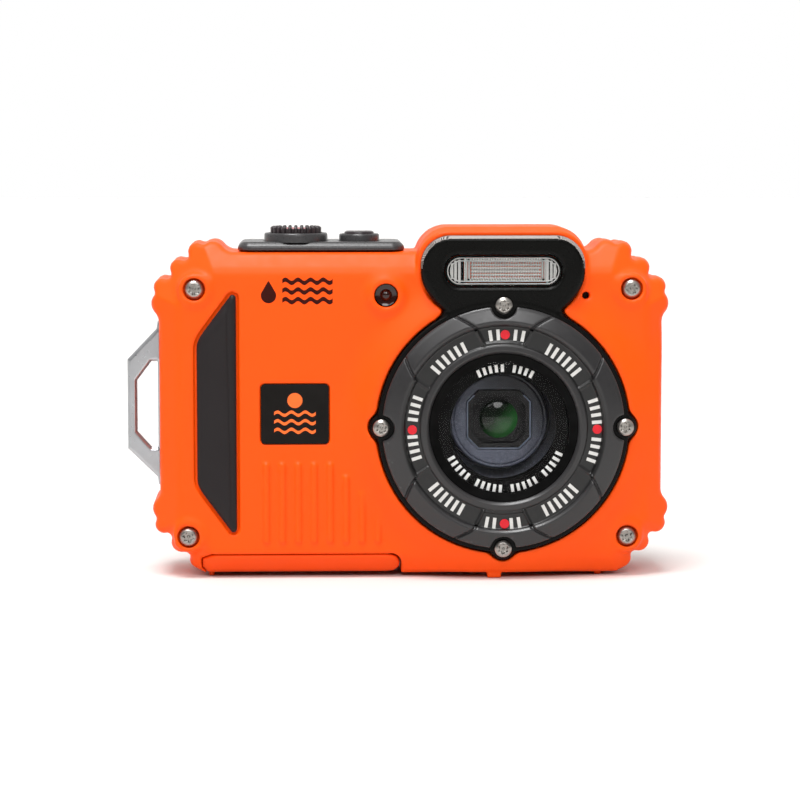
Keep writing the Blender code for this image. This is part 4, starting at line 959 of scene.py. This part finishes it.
for turn, groups in ((-25.7, (5, 4)), (114, (5, 5, 5, 5))):
    for count in groups:
        dashes += [radial_box(turn + DASH_PITCH * k, 11.2, 12.7, 0.62) for k in range(count)]
        turn += DASH_PITCH * (count + 1)
strokes("mask_index_marks", dashes, MASK_FRONT_Y - 0.03, 0.05, PRINT_WHITE)

ZOOM_X, ZOOM_Z = centre_xz("zoom_barrel_inner")
CUP_FRONT_Y, CUP_BACK_Y = (corner[1] for corner in node_box("zoom_barrel_inner"))
HOOD_LOW, HOOD_HIGH = (ZOOM_X - 6.55, ZOOM_Z - 6.05), (ZOOM_X + 6.55, ZOOM_Z + 6.05)
HOOD_CORNER = 2.4


def barrel_field(x, y, z):
    r = np.hypot(x - ZOOM_X, z - ZOOM_Z)
    barrel = both(r - 9.85, slope(r - 9.4, y - CUP_FRONT_Y, (0.4, 0.4)), 0.2)
    barrel = both(barrel, slab(y, CUP_FRONT_Y, CUP_BACK_Y), 0.1)
    barrel = cut(barrel, both(np.abs(r - 9.1) - 0.12, y - CUP_FRONT_Y - 0.35), 0.15)
    return cut(barrel, both(cut_rect(x, z, HOOD_LOW, HOOD_HIGH, HOOD_CORNER), y + 2.3), 0.1)


def baffle_field(x, y, z):
    outer = cut_rect(x, z, HOOD_LOW, HOOD_HIGH, HOOD_CORNER) + 0.1
    front, depth = CUP_FRONT_Y + 0.15, 1.9
    frame = both(outer, slab(y, front, front + depth), 0.2)
    inner = cut_rect(x, z, HOOD_LOW, HOOD_HIGH, 2.9) + 0.55
    return cut(frame, -slope(-inner, front + depth - y, (0.75, depth)), 0.1)


# Painted highlight: a light strip on the left, right and lower edges of the baffle's opening, where light
# catches its bevel.
def baffle_painted_highlight_field(x, y, z):
    outer = cut_rect(x, z, HOOD_LOW, HOOD_HIGH, HOOD_CORNER)
    edge = both(slab(outer, -0.42, -0.14), slab(y, CUP_FRONT_Y + 0.05, CUP_FRONT_Y + 0.4))
    return both(edge, z - ZOOM_Z - 4.9)


carve_node("zoom_barrel_face", "zoom_barrel_inner", barrel_field, 0.24, BARREL_PAINTED_SHADE, "zoom_inner", "barrel_grey")
carve("lens_baffle", baffle_field, (ZOOM_X - 6.6, CUP_FRONT_Y + 0.1, ZOOM_Z - 6.1),
      (ZOOM_X + 6.6, CUP_FRONT_Y + 2.1, ZOOM_Z + 6.1), 0.14, HOOD, "zoom_inner", ("lens_hood",),
      "black_matte")
carve("baffle_painted_highlight", baffle_painted_highlight_field, (ZOOM_X - 6.6, CUP_FRONT_Y, ZOOM_Z - 6.1),
      (ZOOM_X + 6.6, CUP_FRONT_Y + 0.4, ZOOM_Z + 5), 0.1, EDGE_PAINTED_HIGHLIGHT, "zoom_inner", slot="barrel_grey")
# Painted reflection and shade: the lens stays bright green at its lower right and darkens to 5 % at its upper
# left.
paint_shade_across(LENS_PAINTED_REFLECTION, (ZOOM_X + 2.4, ZOOM_Z - 2.4), (ZOOM_X - 1.2, ZOOM_Z + 1.2), 0.05)
steps = [(5.85, -3.15), (5.55, -3.3), (5.45, -2.95), (5.05, -2.95), (5.0, -3.15), (4.65, -3.2),
         (4.55, -2.8), (4.25, -2.8), (4.2, -3.0), (3.95, -3.02), (3.9, -2.5), (3.4, -2.5), (3.4, -2.3),
         (6.2, -2.3), (6.2, -3.1)]
lathe("lens_step_rings", (ZOOM_X, 0, ZOOM_Z), steps, 72, HOOD, body="zoom_inner")
dome = [(r, -3.6 + 0.06 * r * r) for r in (0, 0.5, 1.0, 1.5, 2.0, 2.5, 3.0, 3.5, 3.85)]
dome += [(3.85, -2.4), (0, -2.4)]
lathe("front_lens", (ZOOM_X, 0, ZOOM_Z), dome, 64, LENS_PAINTED_REFLECTION, body="zoom_inner", replaces=("front_element",))

# ---------------------------------------------------------------- flash

REFLECTOR_LOW, REFLECTOR_HIGH = box_xz("flash_reflector")
COVER_FRONT_Y = node_box("flash_window")[0][1]
DIFFUSER_X = (REFLECTOR_LOW[0] + REFLECTOR_HIGH[0]) / 2
SCALLOP_X = 6.6  # where the diffuser's end scallops begin, from its middle
STADIUM = rounded_box([c + 0.35 for c in WINDOW_LOW], [c - 0.35 for c in WINDOW_HIGH], 2.79, steps=16)
plate("flash_cover", STADIUM, COVER_FRONT_Y, COVER_FRONT_Y + 0.45, CLEAR, 0.15, ("flash_window",))


def flash_frame_field(x, y, z):
    window = block(x, z, WINDOW_LOW, WINDOW_HIGH, 3.1)
    lamp = block(x, z, REFLECTOR_LOW, REFLECTOR_HIGH, 0.5)
    return both(both(window + 0.1, 0.15 - lamp), slab(y, -11.25, -10.95))


# Painted highlight: two light beads inside the flash window's outline, for light caught by the clear cover's
# edges.
def flash_highlight_bead_field(x, y, z):
    window = block(x, z, WINDOW_LOW, WINDOW_HIGH, 3.1)
    beads = all_of(np.abs(window + 0.62), np.abs(window + 1.15)) - 0.11
    return both(beads, slab(y, -11.4, -11.2))


def flash_prism_field(x, y, z):
    """Ribbed diffuser in front of the tube, with rounded scallops at its two ends."""
    panel = block(x, z, REFLECTOR_LOW + 0.15, REFLECTOR_HIGH - 0.15, 0.3)
    ends = np.abs(x - DIFFUSER_X) - SCALLOP_X
    rib = 0.20 * np.abs(np.sin((z - 58.9) * math.pi / 0.67)) + 0.045 * np.sin(x * 2 * math.pi / 0.5)
    wave = np.where(ends > 0.3, 0.20 * np.abs(np.sin(ends * math.pi / 0.6)), rib)
    return both(panel, both(-11.12 + wave - y, y + 10.85)) * 0.8


def plate_bevel_highlight_field(x, y, z):
    """Painted highlight along the top bevel of the flash plate."""
    shape = flash_shape(x, z)
    bevel = slope(shape + 0.75, y - FASCIA_FRONT_Y, (0.75, 0.8))
    ends = 0.35 * np.clip((64.5 - z) / 2.5, 0, 1)
    return both(both(slab(bevel, -0.10, 0.03), slab(shape, -0.68 + ends, -0.02), 0.05), 61.5 - z, 0.05)


low = (WINDOW_LOW[0], -11.3, WINDOW_LOW[1])
high = (WINDOW_HIGH[0], -10.9, WINDOW_HIGH[1])
carve("flash_frame", flash_frame_field, low, high, 0.12, BLACK, slot="black_gloss")
high = (WINDOW_HIGH[0], -11.1, WINDOW_HIGH[1])
carve("flash_painted_highlight_rim", flash_highlight_bead_field, low, high, 0.09, RIM_PAINTED_HIGHLIGHT, slot="clear_window")
carve("flash_diffuser", flash_prism_field, (REFLECTOR_LOW[0], -11.15, REFLECTOR_LOW[1]),
      (REFLECTOR_HIGH[0], -10.8, REFLECTOR_HIGH[1]), 0.09, PRISM, slot="clear_window")
BAR_X, BAR_Z = 20.45, 61.05
bars = [rounded_box((x - 0.26, BAR_Z - tall), (x + 0.26, BAR_Z + tall), 0.2, steps=3)
        for away, tall in ((8.65, 2.3), (9.4, 2.05), (10.1, 1.55)) for x in (BAR_X - away, BAR_X + away)]
# Painted highlight: light bars for the lit ribs at the sides of the flash.
strokes("flash_side_rib_highlights", bars, -11.32, 0.2, RIM_PAINTED_HIGHLIGHT)
pins = [arc(x, z, 0.22, 0, 330, 11) for x in (13.6, 28.3) for z in (59.35, 63.15)]
strokes("flash_corner_pins", pins, -11.2, 0.08, MASK)
carve("flash_plate_bevel_highlight", plate_bevel_highlight_field, (FLASH_X - 16.2, FASCIA_FRONT_Y, 61.4),
      (FLASH_X + 16.2, FASCIA_FRONT_Y + 1.0, 68.1), 0.13, BEVEL_PAINTED_HIGHLIGHT, slot="black_gloss")

# ---------------------------------------------------------------- buttons on the deck

SHUTTER_XY = tuple(node_centre("shutter_button")[:2])
POWER_XY = tuple(node_centre("power_button")[:2])
SHUTTER_LOW_Z, SHUTTER_TOP_Z = (corner[2] for corner in node_box("shutter_button"))
POWER_LOW_Z, POWER_TOP_Z = (corner[2] for corner in node_box("power_button"))
TOOTH_COUNT = 24


def shutter_field(x, y, z):
    cx, cy = SHUTTER_XY
    down = SHUTTER_TOP_Z - z
    r = np.hypot(x - cx, y - cy)
    teeth = np.clip(2.2 * np.cos(TOOTH_COUNT * np.arctan2(y - cy, x - cx)), -1, 1)
    crown = both((r - 4.80 - 0.26 * teeth) * 0.8, both(66.9 - z, 0.22 * (1 - teeth) - down) * 0.8, 0.1)
    crown = both(crown, slope(r - 4.7, down, (0.5, 0.45)), 0.1)
    dish = both(r - 4.05, down - 0.62 + 0.012 * r * r)
    stem = both(r - 1.6, slab(z, SHUTTER_LOW_Z, 67.2))
    return union(cut(crown, dish, 0.3), stem, 0.05)


carve_node("shutter_release", "shutter_button", shutter_field, 0.15, DECK_KEY, "shutter_button", "deck_black")
inlay = ((0, 0.70), (3.3, 0.62), (3.3, 0.47), (2.9, 0.43), (0, 0.50))
inlay = [(r, SHUTTER_TOP_Z - down) for r, down in inlay]
lathe("shutter_inlay", (*SHUTTER_XY, 0), inlay, 64, SHUTTER_RED, "Z", "shutter_button")
cap = [(0, POWER_LOW_Z), (1.2, POWER_LOW_Z), (1.2, 66.5), (2.95, 66.5)]
crown = ((2.95, 0.45), (2.85, 0.25), (2.5, 0.1), (1.4, 0.16), (0, 0.2))
cap += [(r, POWER_TOP_Z - down) for r, down in crown]
lathe("power_key", (*POWER_XY, 0), cap, 64, DECK_KEY, "Z", "power_button", ("power_button",))
ring = [(r, POWER_TOP_Z - down) for r, down in ((0.95, 0.19), (1.2, 0.18), (1.2, 0.12), (0.95, 0.13))]
lathe("power_mark", (*POWER_XY, 0), ring, 40, MARK_WHITE, "Z", "power_button")
for node, width in (("shutter_bezel", 0.85), ("power_bezel", 0.7)):
    low, high = node_box(node)
    cx, cy, _ = node_centre(node)
    outer = (high[0] - low[0]) / 2
    inner, top = outer - width, high[2]
    bezel = [(inner, low[2]), (outer, low[2]), (outer, top - 0.35), (outer - 0.08, top - 0.14),
             (outer - 0.25, top), (inner + 0.2, top), (inner + 0.05, top - 0.08), (inner, top - 0.2)]
    lathe(f"{node}_rim", (cx, cy, 0), bezel, 72, DECK, "Z", replaces=(node,))

# ---------------------------------------------------------------- strap bracket, lamp and sockets

BRACKET_LOW, BRACKET_HIGH = node_box("strap_bracket")
STRIP_X = -47.68
STRIP_BACK_X = -46.95
LOOP_X = BRACKET_LOW[0]
LOOP = [(STRIP_X, 18.6), (STRIP_X - 0.25, 19.7), (LOOP_X, 25.4), (LOOP_X, 43.2), (STRIP_X - 0.25, 49.3),
        (STRIP_X, 50.4), (STRIP_BACK_X, 50.9), (STRIP_BACK_X, 18.1)]
LOOP_HOLE = [(STRIP_X + 0.1, 25.6), (STRIP_X - 1.3, 25.6), (STRIP_X - 4.15, 28.8), (STRIP_X - 4.15, 39.0),
             (STRIP_X - 1.3, 42.8), (STRIP_X + 0.1, 42.8)]


def bracket_field(x, y, z):
    y0 = BRACKET_LOW[1]
    outline, hole = polygon(LOOP, x, z), polygon(LOOP_HOLE, x, z)
    loop = both(both(outline, slope(outline + 0.45, y - y0, (0.45, 0.4)), 0.15), slab(y, y0, y0 + 1.5), 0.12)
    rim = (hole - 0.5 + (y - y0)) * 0.7
    loop = cut(loop, union(hole, rim), 0.12)
    strip = both(slab(x, STRIP_X, BRACKET_HIGH[0]), slab(y, y0, BRACKET_HIGH[1]), 0.1)
    strip = both(strip, slab(z, BRACKET_LOW[2], BRACKET_HIGH[2]), 0.3)
    body = union(loop, strip, 0.3)
    for node in ("bracket_screw_1", "bracket_screw_2"):
        _, cy, cz = node_centre(node)
        body = cut(body, np.hypot(y - cy, z - cz) - 0.75, 0.05)
    return body


carve_node("strap_loop", "strap_bracket", bracket_field, 0.16, CHROME, slot="chrome_bracket")
lamp = [(0, 0.35), (0.5, 0.42), (0.95, 0.7), (1.2, 0.95), (1.75, 0.9), (2.1, 0.75), (2.1, 5), (0, 5)]
lathe("focus_lamp", (LAMP[0], FRONT_Y, LAMP[1]), lamp, 64, LAMP_GLASS, replaces=("af_lamp",))
thread = [(4.0, 6.9), (4.0, 1.05), (3.9, 0.95), (3.35, 0.95)]
for turn in range(5):
    z = 1.3 + turn * 0.95
    thread += [(3.15, z), (3.15, z + 0.25), (3.45, z + 0.5), (3.15, z + 0.75)]
thread += [(3.15, 6.1), (0, 6.1), (0, 6.9)]
lathe("tripod_socket", (*TRIPOD, 0), thread, 64, STEEL, "Z", replaces=("tripod_insert",))

# ---------------------------------------------------------------- printed marks and badge

BADGE = box_xz("badge_plate")
BADGE_FRONT_Y, BADGE_BACK_Y = (corner[1] for corner in node_box("badge_plate"))
plate("side_badge", rounded_box(*BADGE, 0.8), BADGE_FRONT_Y, BADGE_BACK_Y, BADGE_BLACK, 0.1, ("badge_plate",))


def wave(x0, x1, z, width, swing=0.32, length=2.6):
    """Outline of a wavy line."""
    xs = np.linspace(x0, x1, 33)
    upper = [(u, z + width / 2 + swing * math.sin((u - x0) * 2 * math.pi / length)) for u in xs]
    lower = [(u, v - width) for u, v in reversed(upper)]
    return upper + lower


def droplet(x, z, size):
    tip = [(x + u * size, z + v * size) for u, v in ((0.28, 1.5), (0, 1.95), (-0.28, 1.5))]
    return arc(x, z, size, -220, 40, 24) + tip


bx, bz = BADGE[0]
marks = [wave(bx + 2.6, bx + 10.8, bz + 2.6 + 1.7 * k, 0.62, 0.34, 2.73) for k in range(3)]
marks.append(arc(bx + 6.7, bz + 8.6, 1.5, 0, 345, 23))
strokes("badge_emblem", marks, BADGE_FRONT_Y - 0.03, 0.06, MARK_ORANGE)
prints = [droplet(-25.6, 56.2, 1.5)] + [wave(-22.9, -13.0, z, 0.85, 0.34, 2.475) for z in (59.0, 57.1, 55.2)]
strokes("water_marks", prints, FRONT_Y - 0.03, 0.05, MARK_DARK)

# ---------------------------------------------------------------- back: display and keys

SCREEN_FRONT_Y, SCREEN_BACK_Y = (corner[1] for corner in node_box("display_window"))
cover = rounded_box(*box_xz("display_window"), 2.0, steps=12)
plate("display_cover", cover, SCREEN_FRONT_Y, SCREEN_BACK_Y, GLOSS, 0.2, ("display_window",))
face = rounded_box((-6.6, 14.0), (46.4, 53.5), 0.4)
plate("display_face", face, SCREEN_BACK_Y - 0.05, SCREEN_BACK_Y + 0.03, DISPLAY, 0.02)


def key_cap(node, radius, flange=0.0):
    """A domed key, with a flange under the shell where it has one; returns where its icon goes."""
    low, high = node_box(node)
    cx, cz = centre_xz(node)
    base, top = low[1], high[1] - 0.05
    foot = [(0, base), (radius, base)]
    if flange:
        foot = [(0, base), (radius + flange, base), (radius + flange, base + 0.7), (radius, base + 0.7)]
    crown = [(radius, top - 0.35), (radius - 0.12, top - 0.12), (radius - 0.4, top),
             (radius * 0.5, top - 0.08), (0, top - 0.12)]
    lathe(f"{node}_cap", (cx, 0, cz), foot + crown, 64, KEY, body=node, replaces=(node,))
    return cx, cz, top - 0.11


def half_ring(start, end):
    return arc(0, 0, 1.5, start, end, 28) + arc(0, 0, 1.22, end, start, 28)


def box_icon(half, low, high, taper=0.0):
    return [(-half, low), (half, low), (half + taper, high), (-half - taper, high)]


ICONS = {
    "movie_button": [arc(0, 0, 0.95, 0, 345, 23)],
    "play_button": [[(0.85, 1.0), (-0.95, 0), (0.85, -1.0)]],
    "menu_button": [box_icon(1.1, k - 0.17, k + 0.17) for k in (-0.75, 0, 0.75)],
    "delete_button": [box_icon(0.7, -1.0, 0.45, 0.2), box_icon(1.1, 0.65, 0.95)],
    "ok_button": [half_ring(0, 170), half_ring(185, 350)],
}
for node, icon in ICONS.items():
    cx, cz, face = key_cap(node, 3.4) if node == "ok_button" else key_cap(node, 2.6, 0.8)
    shapes = [[(cx + u, cz + v) for u, v in outline] for outline in icon]
    paint = MARK_RED if node == "movie_button" else MARK_WHITE
    strokes(f"{node}_icon", shapes, face, 0.09, paint, node)


def pad_key_field(middle, top, back):
    """One quarter of the five-key pad, about the direction middle in degrees."""
    def field(x, y, z):
        r = np.hypot(x - PAD[0], z - PAD[1])
        angle = np.degrees(np.arctan2(z - PAD[1], x - PAD[0]))
        turn = np.abs((angle - middle + 180) % 360 - 180)
        side = np.radians(turn - 44) * r + 0.12
        key = both(both(r - 8.35, 3.85 - r, 0.2), side, 0.4)
        rise = top - 0.045 * np.abs(r - 6.1) ** 1.5
        return both(key, both(back - y, y - rise), 0.3)
    return field


for node, middle in (("right_key", 180), ("up_key", 90), ("left_key", 0), ("down_key", 270)):
    low, high = node_box(node)
    carve_node(f"{node}_cap", node, pad_key_field(middle, high[1], low[1]), 0.22, KEY, node, "key_black")
    u, v = math.cos(math.radians(middle)), math.sin(math.radians(middle))
    arrow = [(PAD[0] + out * u - side * v, PAD[1] + out * v + side * u)
             for out, side in ((6.95, 0), (5.75, 0.8), (5.75, -0.8))]
    strokes(f"{node}_arrow", [arrow], high[1] - 0.05, 0.08, MARK_WHITE, node)


def rocker_field(x, y, z):
    low, high = ROCKER_LOW, ROCKER_HIGH
    rocker = block(x, z, low[[0, 2]] + 0.02, high[[0, 2]] - 0.02, 2.4)
    aside = np.abs(x - (low[0] + high[0]) / 2)
    rise = high[1] - 0.45 + 0.45 * np.clip(aside / 7.0, 0, 1) ** 2
    rocker = both(rocker, both(low[1] - y, y - rise), 0.45)
    lines = np.abs((aside - 5.2 + 0.45) % 0.9 - 0.45) - 0.14
    patch = both(np.abs(aside - 5.2) - 1.3, np.abs(z - 56.0) - 1.3)
    return cut(rocker, both(both(lines, patch), rise - 0.22 - y), 0.1)


carve_node("zoom_rocker_cap", "zoom_rocker", rocker_field, 0.18, KEY, "zoom_rocker", "key_black")

# ---------------------------------------------------------------- materials for the CAD nodes that stay

STAYING = {
    CELL: ("battery",), BOARD: ("memory_card", "main_board"), DISPLAY: ("display_module",),
    # zoom_barrel_outer also carries the barrel paint's painted shade.
    PORT: ("flash_capacitor", "speaker", "microphone", "sensor_module"),
    SEAL: ("case_seal", "window_seal", "door_seal"), MASK: ("lens_tube",), BARREL_PAINTED_SHADE: ("zoom_barrel_outer",),
    REFLECTOR: ("flash_reflector",), PRISM: ("flash_tube",), DECK: ("door_latch",),
    STEEL: ("door_hinge_pin", "bracket_screw_1", "bracket_screw_2"),
}
for material, names in STAYING.items():
    for name in names:
        node = frame["nodes"][name]
        for place in range(len(node.material_slots)):
            node.material_slots[place].material = material

# ---------------------------------------------------------------- floor, light and camera

def make_floor():
    bpy.ops.mesh.primitive_plane_add(size=6, location=(0, 0, 0))
    floor = bpy.context.object
    floor.name = "floor"
    floor.data.materials.append(finish("floor_pale", (216, 215, 213), 0.6, vary=0.005, patch=4, grain=0.0))


def make_world():
    """White to the camera; to everything else, light that falls off towards the front and below."""
    world = bpy.data.worlds.new("studio")
    world.use_nodes = True
    nodes, links = world.node_tree.nodes, world.node_tree.links
    seen, lit = nodes["Background"], nodes.new("ShaderNodeBackground")
    seen.inputs["Color"].default_value = (1, 1, 1, 1)
    lit.inputs["Color"].default_value = (1.0, 0.99, 0.98, 1)
    aim, raised, dim = (nodes.new(f"ShaderNode{kind}") for kind in ("TexCoord", "VectorMath", "MapRange"))
    raised.operation = "DOT_PRODUCT"
    raised.inputs[1].default_value = (0, 1, 1)
    links.new(aim.outputs["Generated"], raised.inputs[0])
    links.new(raised.outputs["Value"], dim.inputs["Value"])
    for socket, value in (("From Min", -0.6), ("From Max", 0.9), ("To Min", 0.12), ("To Max", 0.95)):
        dim.inputs[socket].default_value = value
    links.new(dim.outputs["Result"], lit.inputs["Strength"])
    ray, blend = nodes.new("ShaderNodeLightPath"), nodes.new("ShaderNodeMixShader")
    links.new(ray.outputs["Is Camera Ray"], blend.inputs[0])
    links.new(lit.outputs[0], blend.inputs[1])
    links.new(seen.outputs[0], blend.inputs[2])
    links.new(blend.outputs[0], nodes["World Output"].inputs["Surface"])
    bpy.context.scene.world = world
    bpy.context.scene.view_settings.view_transform = "Standard"


def make_light(name, kind, energy):
    light = bpy.data.lights.new(name, kind)
    light.energy = energy
    lamp = bpy.data.objects.new(name, light)
    bpy.context.scene.collection.objects.link(lamp)
    return light, lamp


def make_lights():
    """One broad overhead light and two round softboxes in front, aimed at the object."""
    sun, lamp = make_light("overhead", "SUN", 3.0)
    sun.angle = math.radians(26)
    lamp.rotation_euler = (math.radians(14), math.radians(-8), 0)
    for name, place, energy in (("key", (-0.25, -0.50, 0.45), 0.7), ("softbox", (0.05, -0.60, 0.46), 1.7)):
        light, lamp = make_light(name, "AREA", energy)
        light.shape = "DISK"
        light.size = 0.30
        lamp.location = place
        lamp.rotation_euler = (Vector(place) - Vector((0, 0, 0.03))).to_track_quat("Z", "Y").to_euler()


def make_camera():
    camera = bpy.data.objects.new("camera", bpy.data.cameras.new("camera"))
    bpy.context.scene.collection.objects.link(camera)
    azimuth, elevation, distance = math.radians(-2.0), math.radians(5.5), 0.56
    seen_width = 0.157947  # at the target
    target = Vector((0.00024, -0.009, 0.0355))
    level = math.cos(elevation)
    back = Vector((math.sin(azimuth) * level, -math.cos(azimuth) * level, math.sin(elevation)))
    camera.location = target + back * distance
    camera.rotation_euler = back.to_track_quat("Z", "Y").to_euler()
    camera.data.sensor_width = 36
    camera.data.lens = camera.data.sensor_width * distance / seen_width
    camera.data.clip_start = 0.01
    bpy.context.scene.camera = camera


make_floor()
make_world()
make_lights()
make_camera()
